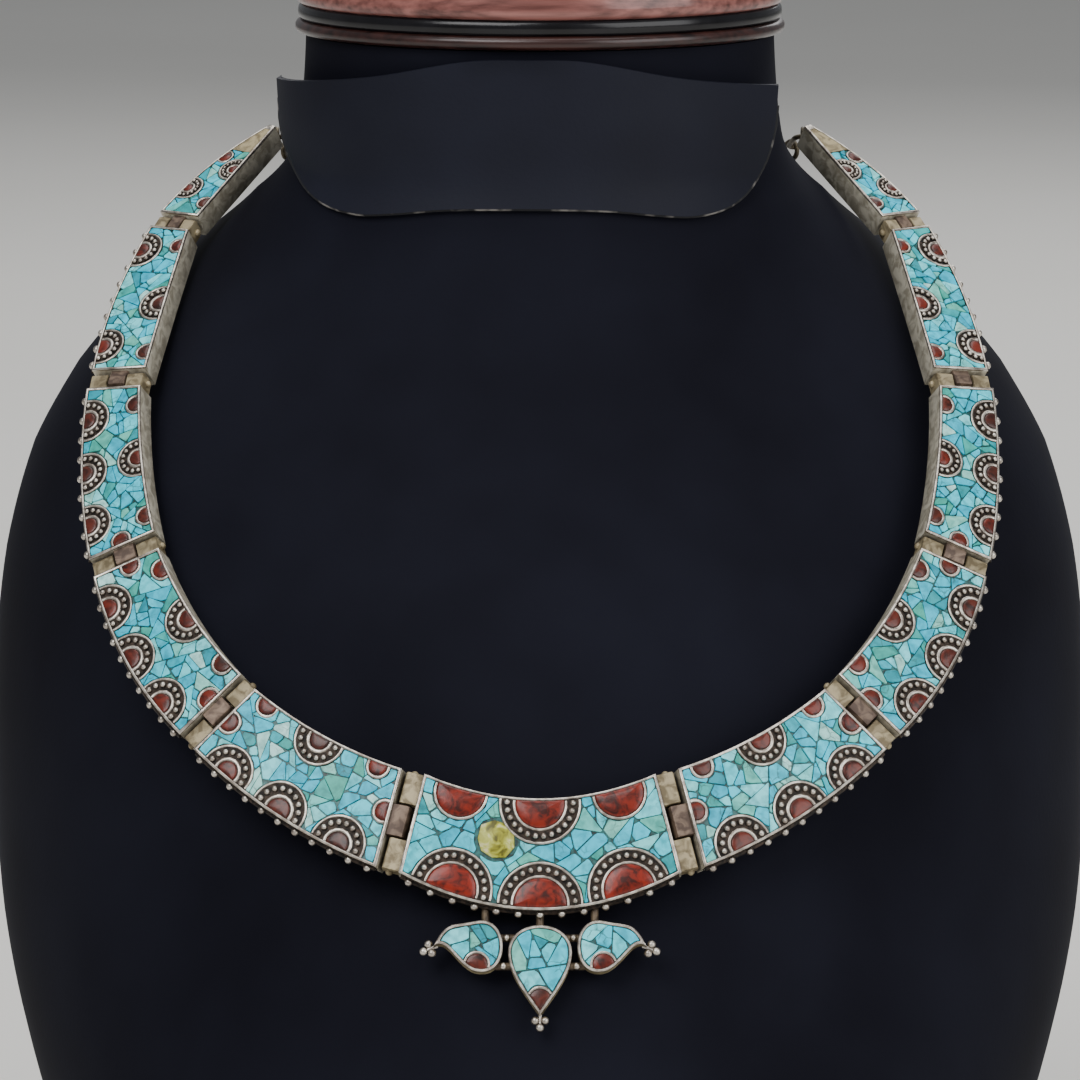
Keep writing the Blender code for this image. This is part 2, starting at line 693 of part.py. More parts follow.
def drop_settings(panel):
    """Metal of the drops, soldered to each other and to the centre panel's rim."""
    place = drop_frame(panel)
    top, low = -DROP_RECESS, -DROP_RECESS - DROP_DEPTH
    level = (top + low) / 2
    made = []
    for outline in drop_outlines().values():
        body = prism("setting", [outline], low, top, place)
        inside = shrunk(outline, DROP_WALL)
        pocket = prism("pocket", [inside], low + DROP_FLOOR, CASE_DEPTH, place)
        made.append(combined(body, pocket, "DIFFERENCE"))
    rods, grains = [], []
    for tie in DROP_TIES:
        for sign in (-1, 1):
            start, end = (place @ Vector((tie["down"], sign * tie[key], level)) for key in ("start", "end"))
            rods.append(rod("tie", start, end, POST_RADIUS))
            middle = (start + end) / 2 + panel.face * POST_RADIUS / 2
            grains.append(ball("grain", middle, GRAIN_RADIUS, panel.face))
    grains += trefoil(Vector((PEAR_TOP + PEAR_LENGTH, 0)), Vector((1, 0)), place, level)
    tail = PAISLEY_START + PAISLEY_LENGTH
    for sign in (-1, 1):
        outward = Vector((0.4, sign)).normalized()
        grains += trefoil(Vector((PAISLEY_LEVEL, sign * tail)), outward, place, level)
    half_chord = (panel.outer_end - panel.outer_start).length / 2
    beside = PAISLEY_LEVEL - PAISLEY_WIDTH / 2
    for sideways, reach in ((0, PEAR_TOP), (-PAISLEY_POST_SIDE, beside), (PAISLEY_POST_SIDE, beside)):
        rise = panel.outer_bow * (sideways / half_chord) ** 2
        start = place @ Vector((-rise - WALL / 2, sideways, level))
        end = place @ Vector((reach + DROP_WALL / 2, sideways, level))
        rods.append(rod("post", start, end, POST_RADIUS))
    return [gathered("settings", made), *rods, *grains]


def drop_inlay(name, panel, side):
    """The stone in one drop, with the half-round coral at its foot."""
    place = drop_frame(panel)
    outline = drop_outlines()[side]
    top, low = -DROP_RECESS - INLAY_DEPTH, -DROP_RECESS - DROP_DEPTH + DROP_FLOOR + CLEARANCE
    body = prism(name, [outline], low, top, place)
    if side == "middle":
        foot = Vector((PEAR_TOP + PEAR_LENGTH * PEAR_MOON, 0))
    else:
        sign = 1 if side == "right" else -1
        foot = Vector((PAISLEY_LEVEL + PAISLEY_MOON, sign * (PAISLEY_START + PAISLEY_WIDTH / 2)))
    spot = place @ Matrix.Translation((foot.x, foot.y, -DROP_RECESS))
    boss = turned("moon", ornament_profile("moon", DROP_MOON_RADIUS, False), spot)
    body = combined(body, boss, "UNION")
    inside = shrunk(shrunk(outline, DROP_WALL), CLEARANCE)
    body = combined(body, prism("trim", [inside], -2 * CASE_DEPTH, CASE_DEPTH, place), "INTERSECT")
    return finished(body, name, "turquoise", TURQUOISE)


def torus(name, radius, wire, stretch, place):
    """A wire ring, drawn out along its x by stretch each way into a link."""
    bpy.ops.mesh.primitive_torus_add(
        major_radius=radius, minor_radius=wire, major_segments=ROUND_STEPS, minor_segments=WIRE_SIDES)
    ring = bpy.context.active_object
    mesh = ring.data.copy()
    bpy.data.objects.remove(ring, do_unlink=True)
    for vertex in mesh.vertices:
        vertex.co.x += stretch if vertex.co.x > 0 else -stretch
    return new_object(name, mesh, place)


def ring_centre(panel):
    """Centre of the ring behind the point of the tip panel."""
    tip = panel.point((panel.inner_end + panel.outer_end) / 2, -CASE_DEPTH / 2)
    return tip + Vector(CHAIN_LEAVES).normalized() * RING_RADIUS * RING_SEAT_SHARE


def chain_path(panel):
    """The chain's way from the tip ring to the middle of the nape, with the length up to each point."""
    start = ring_centre(panel)
    end = Vector((0, bust_back(NAPE_ABOVE) + NAPE_GAP, FRONT_HEIGHT + NAPE_ABOVE))
    leaving = start + Vector(CHAIN_LEAVES).normalized() * CHAIN_LEAVING
    passing = end + Vector((CHAIN_PASSING, 0, 0))
    points = []
    for i in range(PATH_STEPS + 1):
        t, rest = i / PATH_STEPS, 1 - i / PATH_STEPS
        near = start * rest ** 3 + leaving * 3 * t * rest ** 2
        points.append(near + passing * 3 * t ** 2 * rest + end * t ** 3)
    lengths = [0.0]
    for a, b in zip(points, points[1:]):
        lengths.append(lengths[-1] + (b - a).length)
    return points, lengths


def on_path(points, lengths, distance):
    """The point and the direction of the chain's way at a distance from its start."""
    for i in range(1, len(points)):
        if lengths[i] >= distance or i == len(points) - 1:
            share = (distance - lengths[i - 1]) / (lengths[i] - lengths[i - 1])
            return points[i - 1].lerp(points[i], share), (points[i] - points[i - 1]).normalized()
    return points[-1], (points[-1] - points[-2]).normalized()


def link_frame(centre, direction, is_upright):
    """Frame of a link: x along the chain, and its plane upright or lying."""
    side = direction.cross(Vector((0, 0, 1))).normalized()
    second = side.cross(direction).normalized() if is_upright else side
    columns = Matrix((direction, second, direction.cross(second))).transposed().to_4x4()
    return Matrix.Translation(centre) @ columns


def chain_layout(panel):
    """Where the chain's links lie: the first distance, the pitch and their count."""
    _, lengths = chain_path(panel)
    first = RING_RADIUS - RING_WIRE - LINK_WIRE - CLEARANCE
    last = lengths[-1] - HOOK_LENGTH / 2 + HOOK_WIRE + LINK_WIRE + CLEARANCE
    count = max(1, round((last - first) / LINK_PITCH))
    return first, (last - first) / count, count


def chain(name, panel):
    """One side of the closing chain, its links hooked through each other and fused where they bear."""
    points, lengths = chain_path(panel)
    first, pitch, count = chain_layout(panel)
    half = pitch / 2 + LINK_WIRE - LINK_FUSE / 2
    end = pitch / 2
    groups = ([], [])
    for i in range(count):
        centre, direction = on_path(points, lengths, first + pitch * (i + 0.5))
        place = link_frame(centre, direction, is_upright=i % 2 == 1)
        reach = half if 0 < i < count - 1 else (half + end) / 2
        shift = 0.0 if 0 < i < count - 1 else (half - end) / 2 * (1 if i == 0 else -1)
        radius = LINK_WIDTH / 2 - LINK_WIRE
        place = place @ Matrix.Translation((shift, 0, 0))
        groups[i % 2].append(torus("link", radius, LINK_WIRE, reach - radius, place))
    body = combined(gathered("links", groups[0]), gathered("more_links", groups[1]), "UNION")
    return finished(body, name, "brass", BRASS)


def hook(name, panel):
    """The S-shaped hook at the nape that closes the chain."""
    points, _ = chain_path(panel)
    middle = points[-1]
    _, _, count = chain_layout(panel)
    last_is_upright = (count - 1) % 2 == 1
    path = []
    reach = HOOK_LENGTH / 2 - HOOK_RADIUS
    for i in range(HOOK_STEPS + 1):
        angle = HOOK_SWEEP * i / HOOK_STEPS - HOOK_OPENING
        path.append((reach + HOOK_RADIUS * math.cos(angle), HOOK_RADIUS * math.sin(angle)))
    path.reverse()
    path = path + [(-x, -y) for x, y in reversed(path)]
    curve = bpy.data.curves.new(name, "CURVE")
    curve.dimensions = "3D"
    curve.bevel_depth = HOOK_WIRE
    curve.bevel_resolution = 2
    curve.use_fill_caps = True
    spline = curve.splines.new("POLY")
    spline.points.add(len(path) - 1)
    for point, (x, y) in zip(spline.points, path):
        point.co = (x, y, 0.0, 1.0)
    place = link_frame(middle, Vector((-1, 0, 0)), is_upright=not last_is_upright)
    return finished(as_mesh(new_object(name, curve, place)), name, "brass", BRASS)


def at_height(row):
    """A row of the bust's tables with its height over the base."""
    height = row["share"] * FRONT_HEIGHT if "share" in row else FRONT_HEIGHT + row["above"]
    return dict(height=height, half_width=row["half_width"], front=row["front"],
                side=row["side"], back=row["back"])


def bust_back(above):
    """How far back the bust reaches at a height above the necklace's front."""
    rows = BUST_CHEST + BUST_NECK
    low, high = next((a, b) for a, b in zip(rows, rows[1:]) if above <= b["above"])
    share = (above - low["above"]) / (high["above"] - low["above"])
    return low["back"] + (high["back"] - low["back"]) * share


def between(a, b, c, d, t):
    """The value at a share t of the way from b to c, on a smooth curve from a to d."""
    square, cube = 2 * a - 5 * b + 4 * c - d, 3 * b - a - 3 * c + d
    return 0.5 * (2 * b + (c - a) * t + square * t ** 2 + cube * t ** 3)


def smooth_sections(rows, steps):
    """The rows with further ones between them, on a smooth curve through each column."""
    made = []
    for i in range(len(rows) - 1):
        around = [rows[max(0, i - 1)], rows[i], rows[i + 1], rows[min(len(rows) - 1, i + 2)]]
        for step in range(steps):
            made.append({key: between(*(row[key] for row in around), step / steps) for key in rows[0]})
    return made + [dict(rows[-1])]


def loft(name, rows):
    """A closed body through level oval sections."""
    shape = bmesh.new()
    rings = []
    for row in rows:
        ring = []
        for i in range(BUST_SIDES):
            angle = 2 * math.pi * i / BUST_SIDES
            end = row["front"] if math.cos(angle) > 0 else row["back"]
            depth = row["side"] + (end - row["side"]) * abs(math.cos(angle))
            ring.append(shape.verts.new((row["half_width"] * math.sin(angle), depth, row["height"])))
        rings.append(ring)
    shape.faces.new(rings[0])
    for low, high in zip(rings, rings[1:]):
        for i in range(BUST_SIDES):
            after = (i + 1) % BUST_SIDES
            shape.faces.new((low[i], low[after], high[after], high[i]))
    shape.faces.new(reversed(rings[-1]))
    bmesh.ops.recalc_face_normals(shape, faces=shape.faces)
    mesh = bpy.data.meshes.new(name)
    shape.to_mesh(mesh)
    shape.free()
    return new_object(name, mesh)


def widened(row, reach, rise=0.0):
    """A section that stands out from another one, and lies higher by rise."""
    return dict(height=row["height"] + rise, half_width=row["half_width"] + reach,
                front=row["front"] - reach, side=row["side"], back=row["back"] + reach)


def flap_sections():
    """The neck's sections with the flap's own width, where that is wider."""
    rows = [at_height(row) for row in BUST_NECK]
    for row in rows:
        row["half_width"] = max(row["half_width"], FLAP_HALF_WIDTH)
    return smooth_sections(rows, BUST_STEPS)


def flap(name):
    """The stiff flap over the front of the neck."""
    rows = flap_sections()
    body = loft(name, [widened(row, CLEARANCE + FLAP_THICKNESS) for row in rows])
    inside = [widened(row, CLEARANCE) for row in rows]
    inside[0]["height"] -= FLAP_THICKNESS
    inside[-1]["height"] += FLAP_THICKNESS
    body = combined(body, loft("inside", inside), "DIFFERENCE")
    half = [(x, FRONT_HEIGHT + above) for x, above in FLAP_OUTLINE]
    outline = [(x + FLAP_SHIFT, z) for x, z in half + [(-x, z) for x, z in reversed(half[1:-1])]]
    upright = Matrix.Rotation(math.radians(90), 4, "X")
    front = min(row["side"] for row in rows)
    body = combined(body, prism("outline", [outline], -front, FLAP_BACK, upright), "INTERSECT")
    return finished(body, name, "black_leatherette", BLACK_LEATHERETTE)


def bust():
    """The plain neck bust: its body, the flap over its neck and the cap on top."""
    rows = [at_height(row) for row in BUST_FOOT + BUST_CHEST + BUST_NECK]
    body = loft("bust_body", smooth_sections(rows, BUST_STEPS))
    finished(body, "bust_body", "black_leatherette", BLACK_LEATHERETTE)
    cap = loft("bust_cap", [widened(rows[-1], step["reach"], step["rise"]) for step in CAP_STEPS])
    finished(cap, "bust_cap", "dark_wood", DARK_WOOD)
    flap("bust_flap")


def build():
    """Models the necklace and its bust."""
    centre = centre_panel()
    panels = []
    for row in SIDE_PANELS:
        panels.append(next_panel(panels[-1] if panels else centre, row))
    tip = panels[-1]

    centre_case("case_centre", centre)
    inlay("inlay_centre", centre, CENTRE_ORNAMENTS, has_cabochons=True)
    for number, ornament in enumerate(CENTRE_ORNAMENTS, 1):
        cabochon(f"coral_{number}", centre, ornament)
    for side in ("middle", "left", "right"):
        drop_inlay(f"drop_stone_{side}", centre, side)

    before = centre
    for number, (panel, ornaments) in enumerate(zip(panels, SIDE_ORNAMENTS), 1):
        made = [
            side_case(f"case_right_{number}", panel, before, panel is tip),
            inlay(f"inlay_right_{number}", panel, ornaments),
            pin(f"hinge_pin_right_{number}", before),
        ]
        for piece in made:
            mirrored(piece, piece.name.replace("right", "left"))
        before = panel

    mirrored(chain("chain_right", tip), "chain_left")
    hook("hook_clasp", tip)
    bust()


build()
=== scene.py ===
"""Looks of a hinged bib necklace and the neck bust that holds it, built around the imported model.

Metres, +Z up, the front of the necklace faces -Y and the origin is the middle of the bust's base.
Every panel is worked out in its own frame: x runs outward along its starting end, y runs along the
panel and z rises from its face. The left half has its own stones in mirrored metalwork.
"""

import logging
import math
import random
from dataclasses import dataclass, field
from enum import Enum
from typing import Callable, Iterable, Optional, Sequence

import bmesh
import bpy
from mathutils import Matrix, Vector


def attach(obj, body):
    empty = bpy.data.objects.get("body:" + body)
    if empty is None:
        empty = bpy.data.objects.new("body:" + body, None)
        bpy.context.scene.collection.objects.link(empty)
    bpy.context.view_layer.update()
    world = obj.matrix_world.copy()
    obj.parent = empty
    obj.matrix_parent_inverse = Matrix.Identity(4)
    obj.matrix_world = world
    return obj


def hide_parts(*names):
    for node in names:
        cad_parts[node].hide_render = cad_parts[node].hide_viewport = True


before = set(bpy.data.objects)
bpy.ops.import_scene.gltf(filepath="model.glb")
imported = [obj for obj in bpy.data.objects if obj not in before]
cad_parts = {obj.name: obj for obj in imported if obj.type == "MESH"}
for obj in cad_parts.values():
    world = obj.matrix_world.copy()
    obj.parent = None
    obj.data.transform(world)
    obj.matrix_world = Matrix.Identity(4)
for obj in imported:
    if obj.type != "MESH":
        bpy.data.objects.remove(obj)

LOG = logging.getLogger("bib_necklace")
MM = 0.001
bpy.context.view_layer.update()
MIRROR = Matrix.Scale(-1, 4, (1, 0, 0))
BODY = "root"
HOLLOW = 0.0007
Socket = bpy.types.NodeSocket


class Slot(Enum):
    """Material slots of the record."""

    SILVER = "silver"
    BRASS = "brass"
    TURQUOISE = "turquoise"
    CORAL = "coral"
    LEATHERETTE = "black_leatherette"
    WOOD = "dark_wood"


class Side(Enum):
    """The two halves of the necklace."""

    RIGHT = "right"
    LEFT = "left"

    def turn(self) -> Matrix:
        """What brings the right half's metalwork to this side."""
        return MIRROR if self is Side.LEFT else Matrix.Identity(4)


class Edge(Enum):
    """The four edges of a panel that an ornament can stand on."""

    INNER = "inner"
    OUTER = "outer"
    START = "start"
    END = "end"


class Kind(Enum):
    """The two ornaments: a coral half-round with a band of grains, or one with a single wire."""

    ROSETTE = "rosette"
    MOON = "moon"


def linear(colour: str) -> tuple[float, float, float, float]:
    """Turns an sRGB hex colour to linear light.

    Args:
        colour: six hex digits after a hash sign.

    Returns:
        Red, green, blue and an alpha of one.
    """
    parts = [int(colour[i:i + 2], 16) / 255 for i in (1, 3, 5)]
    red, green, blue = (p / 12.92 if p <= 0.04045 else ((p + 0.055) / 1.055) ** 2.4 for p in parts)
    return red, green, blue, 1.0


@dataclass(frozen=True)
class Finish:
    """A surface, with the values that its shader takes directly."""

    name: str
    roughness: float
    metallic: float = 0.0
    coat: float = 0.0
    coat_roughness: float = 0.1
    ior: float = 1.5


class Surface:
    """A material in the making: its tree, its shader and the object coordinates in metres."""

    def __init__(self, finish: Finish) -> None:
        """Makes the bare material.

        Args:
            finish: the values that its shader takes directly.
        """
        self.material = bpy.data.materials.new(finish.name)
        self.material.use_nodes = True
        self.tree = self.material.node_tree
        self.shader = self.tree.nodes["Principled BSDF"]
        direct = {"Roughness": finish.roughness, "Metallic": finish.metallic, "IOR": finish.ior,
                  "Coat Weight": finish.coat, "Coat Roughness": finish.coat_roughness}
        for name, value in direct.items():
            self.shader.inputs[name].default_value = value
        self.place = self.add("ShaderNodeTexCoord").outputs["Object"]

    def add(self, kind: str, values: Optional[dict] = None, links: Optional[dict] = None,
            **settings: object) -> bpy.types.Node:
        """Adds a node.

        Args:
            kind: Blender's name of the node type.
            values: input name or number to the constant it holds.
            links: input name or number to the output socket that feeds it.
            settings: the node's own properties.

        Returns:
            The new node.
        """
        node = self.tree.nodes.new(kind)
        for name, value in settings.items():
            setattr(node, name, value)
        for name, value in (values or {}).items():
            node.inputs[name].default_value = value
        for name, socket in (links or {}).items():
            self.tree.links.new(socket, node.inputs[name])
        return node

    def colour(self, socket: Socket) -> None:
        """Gives the shader its base colour."""
        self.tree.links.new(socket, self.shader.inputs["Base Color"])

    def tone(self) -> Socket:
        """The value that each piece's points carry."""
        return self.add("ShaderNodeAttribute", attribute_name="tone").outputs["Fac"]

    def stretched(self, scale: tuple[float, float, float]) -> Socket:
        """The coordinates scaled, so that a pattern is drawn out along the small ones."""
        return self.add("ShaderNodeMapping", links={"Vector": self.place}, values={"Scale": scale}).outputs[0]

    def noise(self, size_mm: float, detail: float = 3.0, distortion: float = 0.0,
              place: Optional[Socket] = None, output: str = "Fac") -> Socket:
        """Clouds whose mean width is a real size.

        Args:
            size_mm: width of one cloud in millimetres.
            detail: how many finer layers it has.
            distortion: how far it is pulled about.
            place: coordinates other than the object's own.
            output: name of the node's output.

        Returns:
            The clouds' value.
        """
        node = self.add("ShaderNodeTexNoise", links={"Vector": place or self.place},
                        values={"Scale": 1 / (size_mm * MM), "Detail": detail, "Distortion": distortion})
        return node.outputs[output]

    def ramp(self, source: Socket, stops: Sequence[tuple[float, str]]) -> Socket:
        """A colour ramp over a value.

        Args:
            source: the value.
            stops: place and sRGB hex colour of each stop, in rising order.

        Returns:
            The ramp's colour.
        """
        node = self.add("ShaderNodeValToRGB", links={"Fac": source})
        elements = node.color_ramp.elements
        for place, _ in stops[len(elements):]:
            elements.new(place)
        for element, (place, colour) in zip(elements, stops):
            element.position = place
            element.color = linear(colour)
        return node.outputs["Color"]

    def mapped(self, source: Socket, low: float, high: float, first: float, last: float) -> Socket:
        """A value's stretch from low to high turned to a stretch from first to last, and held there."""
        node = self.add("ShaderNodeMapRange", links={0: source}, values={1: low, 2: high, 3: first, 4: last})
        return node.outputs[0]

    def mixed(self, share: Socket | float, first: object, second: object, blend: str = "MIX") -> Socket:
        """Mixes two colours.

        Args:
            share: how much of the second colour, a socket or a number.
            first: a socket or an sRGB hex colour.
            second: a socket or an sRGB hex colour.
            blend: Blender's name of the way they mix.

        Returns:
            The mixed colour.
        """
        values, links = {}, {}
        for name, given in ((0, share), (6, first), (7, second)):
            if isinstance(given, bpy.types.NodeSocket):
                links[name] = given
            else:
                values[name] = linear(given) if isinstance(given, str) else given
        node = self.add("ShaderNodeMix", values=values, links=links, data_type="RGBA", blend_type=blend)
        return node.outputs[2]

    def worn(self, low: float, high: float) -> Socket:
        """How open the surface lies, for the patina that stays in hollows 0.7 mm wide.

        Args:
            low: openness that still counts as a hollow.
            high: openness that counts as rubbed clean.

        Returns:
            0 in hollows to 1 where the metal is rubbed.
        """
        open_sky = self.add("ShaderNodeAmbientOcclusion", values={"Distance": HOLLOW}, samples=3)
        return self.mapped(open_sky.outputs["AO"], low, high, 0.0, 1.0)

    def bump(self, height: Socket, depth_mm: float, strength: float = 1.0) -> None:
        """Gives the shader a relief.

        Args:
            height: relief from 0 to 1.
            depth_mm: the relief's real depth in millimetres.
            strength: how much of it is felt.
        """
        node = self.add("ShaderNodeBump", values={"Strength": strength, "Distance": depth_mm * MM},
                        links={"Height": height})
        self.tree.links.new(node.outputs["Normal"], self.shader.inputs["Normal"])


@dataclass(frozen=True)
class DrawnSilver(Finish):
    """Low-grade silver wire and grains, blackened and rubbed back: bright tops, dark feet."""

    name: str = "blackened_silver_wire"
    roughness: float = 0.36
    metallic: float = 1.0
    bright: str = "#d2cbc0"
    warm: str = "#9b9187"
    patina: str = "#2a231e"

    def dress(self, surface: Surface) -> None:
        """Colours the metal and keeps its hollows dark."""
        metal = surface.ramp(surface.noise(1.6), ((0.38, self.warm), (0.6, self.bright)))
        surface.colour(surface.mixed(surface.worn(0.3, 0.8), self.patina, metal))
        surface.bump(surface.noise(0.5), 0.03)


@dataclass(frozen=True)
class RolledWhiteBrass(Finish):
    """Rolled white-brass sheet, filed by hand and left to tarnish: khaki with brown clouds and file lines."""

    name: str = "tarnished_white_brass_sheet"
    roughness: float = 0.5
    metallic: float = 0.45
    clean: str = "#b2a480"
    dull: str = "#7e7154"
    patina: str = "#3f3325"

    def dress(self, surface: Surface) -> None:
        """Clouds the metal, keeps its hollows dark and files it lengthwise."""
        clouds = surface.ramp(surface.noise(2.2, 4.0, 0.9), ((0.4, self.dull), (0.6, self.clean)))
        surface.colour(surface.mixed(surface.worn(0.15, 0.6), self.patina, clouds))
        surface.bump(surface.noise(0.35, place=surface.stretched((1.0, 1.0, 0.12))), 0.03)


# A paler copy for the tray walls: painted light that stands in for the light the inner walls get.
PAINTED_LIGHT_WALL = RolledWhiteBrass("tarnished_brass_wall_painted_paler", clean="#cac4b2", dull="#989180", patina="#4d473a")
KHAKI_KNUCKLE = RolledWhiteBrass("worn_khaki_brass", clean="#a39678", dull="#6c6048")
# A darker, redder copy for the middle knuckles: painted shade in the middle of each hinge.
SHADED_MIDDLE_KNUCKLE = RolledWhiteBrass("red_brass_painted_shade", clean="#7d6a5b", dull="#4f4037")
# A dark copy for the drops' posts and ties: painted shade in the gap between the centre panel and the drops.
SHADED_BRASS_ROD = RolledWhiteBrass("brass_rod_painted_shade", clean="#675845", dull="#3c3126")
TARNISHED_LINK = RolledWhiteBrass("heavily_tarnished_brass", clean="#6e6450", dull="#4c4436")


@dataclass(frozen=True)
class PolishedTurquoise(Finish):
    """Crushed turquoise set in resin and ground flush: each chip its own blue, some with matrix lines."""

    name: str = "polished_turquoise_chips"
    roughness: float = 0.38
    coat: float = 0.04
    coat_roughness: float = 0.15
    ior: float = 1.34
    matrix: str = "#3b4a3c"
    wander: float = 0.0012
    shades: tuple[tuple[float, str], ...] = (
        (0.0, "#1896ab"), (0.12, "#3fae9c"), (0.2, "#1ab8d6"), (0.48, "#33d0eb"), (0.68, "#52deee"),
        (0.82, "#84e8ef"), (0.91, "#5cc2b0"), (1.0, "#bff2ee"),
    )

    def dress(self, surface: Surface) -> None:
        """Gives each chip its shade, clouds it and draws rare matrix lines that wander."""
        clouds = surface.ramp(surface.noise(1.7, 4.0, 0.4), ((0.32, "#93acad"), (0.6, "#ffffff")))
        clouded = surface.mixed(0.7, surface.ramp(surface.tone(), self.shades), clouds, "MULTIPLY")
        pulled = surface.add("ShaderNodeVectorMath", operation="MULTIPLY_ADD", values={1: (self.wander,) * 3},
                             links={0: surface.noise(1.5, 2.0, output="Color"), 2: surface.place})
        lines = surface.add("ShaderNodeTexVoronoi", links={"Vector": pulled.outputs[0]},
                            values={"Scale": 1 / (2.4 * MM)}, feature="DISTANCE_TO_EDGE")
        share = surface.add("ShaderNodeMath", operation="MULTIPLY",
                            links={0: surface.mapped(lines.outputs["Distance"], 0.0, 0.05, 1.0, 0.0),
                                   1: surface.mapped(surface.noise(4.5), 0.52, 0.62, 0.0, 0.75)})
        surface.colour(surface.mixed(share.outputs[0], clouded, self.matrix))
        surface.bump(surface.noise(0.6, 4.0), 0.015)


@dataclass(frozen=True)
class PolishedCoral(Finish):
    """Dyed coral, domed and waxed: glossy red with darker streaks; the small ones are browner and duller."""

    name: str = "waxed_red_coral"
    roughness: float = 0.32
    coat: float = 0.12
    ior: float = 1.4
    red: str = "#86210e"
    deep: str = "#3a0e07"
    brown: str = "#4f251a"
    umber: str = "#26110c"

    def dress(self, surface: Surface) -> None:
        """Streaks the bright and the dull coral alike and mixes them by each stone's tone."""
        streaks = surface.noise(2.0, 4.0, 1.2)
        bright = surface.ramp(streaks, ((0.35, self.deep), (0.6, self.red)))
        dull = surface.ramp(streaks, ((0.35, self.umber), (0.65, self.brown)))
        surface.colour(surface.mixed(surface.tone(), bright, dull))
        surface.bump(surface.noise(0.8), 0.02)


@dataclass(frozen=True)
class Clouded(Finish):
    """A surface coloured by clouds of a real width, with a grain where it has a depth."""

    cloud_mm: float = 1.0
    detail: float = 3.0
    distortion: float = 0.0
    stops: tuple[tuple[float, str], ...] = ()
    stretch: tuple[float, float, float] = (1.0, 1.0, 1.0)
    grain_mm: float = 1.0
    grain_detail: float = 3.0
    grain_depth_mm: float = 0.0
    grain_strength: float = 1.0

    def dress(self, surface: Surface) -> None:
        """Lays the clouds and the grain, both drawn out alike."""
        place = surface.stretched(self.stretch)
        clouds = surface.noise(self.cloud_mm, self.detail, self.distortion, place)
        surface.colour(surface.ramp(clouds, self.stops))
        if self.grain_depth_mm:
            surface.bump(surface.noise(self.grain_mm, self.grain_detail, place=place), self.grain_depth_mm,
                         self.grain_strength)


@dataclass(frozen=True)
class BlackenedFloorAndWallShade(Clouded):
    """Silver sheet under the grains, left black from the sulphur bath: nearly matt brown-black. On the outer
    wall's strip and wires its dark is partly painted shade.
    """

    name: str = "sulphur_blackened_silver_and_painted_wall_shade"
    roughness: float = 0.55
    metallic: float = 0.6
    cloud_mm: float = 0.9
    detail: float = 4.0
    stops: tuple[tuple[float, str], ...] = ((0.4, "#17120f"), (0.7, "#46392f"))


@dataclass(frozen=True)
class OliveStone(Clouded):
    """One yellow-olive chip among the turquoise, waxy with a darker heart."""

    name: str = "olive_serpentine_chip"
    roughness: float = 0.4
    ior: float = 1.45
    cloud_mm: float = 2.2
    distortion: float = 0.8
    stops: tuple[tuple[float, str], ...] = (
        (0.38, "#55520e"), (0.48, "#8f8d26"), (0.58, "#b0b34c"), (0.72, "#d3cc9f"))


@dataclass(frozen=True)
class StoneResin(Clouded):
    """The resin between the chips, darkened with stone dust: deep teal, slightly glossy."""

    name: str = "dark_teal_resin"
    roughness: float = 0.4
    cloud_mm: float = 0.8
    detail: float = 4.0
    stops: tuple[tuple[float, str], ...] = ((0.35, "#0c2a2a"), (0.7, "#28706e"))


@dataclass(frozen=True)
class BlackLeatherette(Clouded):
    """Embossed black polyurethane on cloth: matt, with a pebble grain drawn at 1.1 mm so that it shows."""

    name: str = "embossed_black_leatherette"
    roughness: float = 0.8
    ior: float = 1.18
    cloud_mm: float = 45.0
    stops: tuple[tuple[float, str], ...] = ((0.3, "#0b0b14"), (0.7, "#14151f"))
    grain_mm: float = 1.1
    grain_detail: float = 1.0
    grain_depth_mm: float = 0.06
    grain_strength: float = 0.5


@dataclass(frozen=True)
class BlackCard(BlackLeatherette):
    """Stiff card under smooth black paper: a finer grain and a paler black than the bust's cover."""

    name: str = "smooth_black_card"
    roughness: float = 0.6
    ior: float = 1.25
    stops: tuple[tuple[float, str], ...] = ((0.3, "#10111b"), (0.7, "#191b27"))
    grain_mm: float = 0.7


@dataclass(frozen=True)
class FrayedCard(Clouded):
    """The cut edge of the black card: its pale core shows in worn patches 4 mm long."""

    name: str = "frayed_card_edge"
    roughness: float = 0.8
    cloud_mm: float = 4.0
    detail: float = 2.0
    stops: tuple[tuple[float, str], ...] = ((0.5, "#0b0b10"), (0.64, "#77736f"))


@dataclass(frozen=True)
class StainedBeech(Clouded):
    """Turned beech, stained red-brown and lacquered: long grain lines 1.5 mm apart across the cap."""

    name: str = "stained_turned_beech"
    roughness: float = 0.3
    coat: float = 0.3
    ior: float = 1.45
    cloud_mm: float = 1.5
    detail: float = 5.0
    distortion: float = 0.1
    stops: tuple[tuple[float, str], ...] = ((0.3, "#48241f"), (0.68, "#8f5c55"))
    stretch: tuple[float, float, float] = (0.05, 1.0, 1.0)
    grain_mm: float = 0.9
    grain_depth_mm: float = 0.02


@dataclass(frozen=True)
class DarkBeech(StainedBeech):
    """The cap's lower ring: the same beech with a darker stain and hardly any lacquer."""

    name: str = "dark_stained_beech"
    coat: float = 0.1
    stops: tuple[tuple[float, str], ...] = ((0.3, "#140908"), (0.68, "#371e1a"))


@dataclass(frozen=True)
class BlackLacquer(Clouded):
    """A turned ring under black lacquer: glossy, with faint orange peel."""

    name: str = "black_lacquered_ring"
    roughness: float = 0.2
    ior: float = 1.4
    cloud_mm: float = 6.0
    stops: tuple[tuple[float, str], ...] = ((0.3, "#060507"), (0.8, "#17161a"))
    grain_mm: float = 1.5
    grain_depth_mm: float = 0.02


@dataclass(frozen=True)
class PaintedFloor(Clouded):
    """A plain pale studio floor."""

    name: str = "pale_studio_floor"
    roughness: float = 0.8
    cloud_mm: float = 400.0
    stops: tuple[tuple[float, str], ...] = ((0.3, "#d8d6d1"), (0.7, "#dddbd6"))


MATERIALS: dict[str, bpy.types.Material] = {}


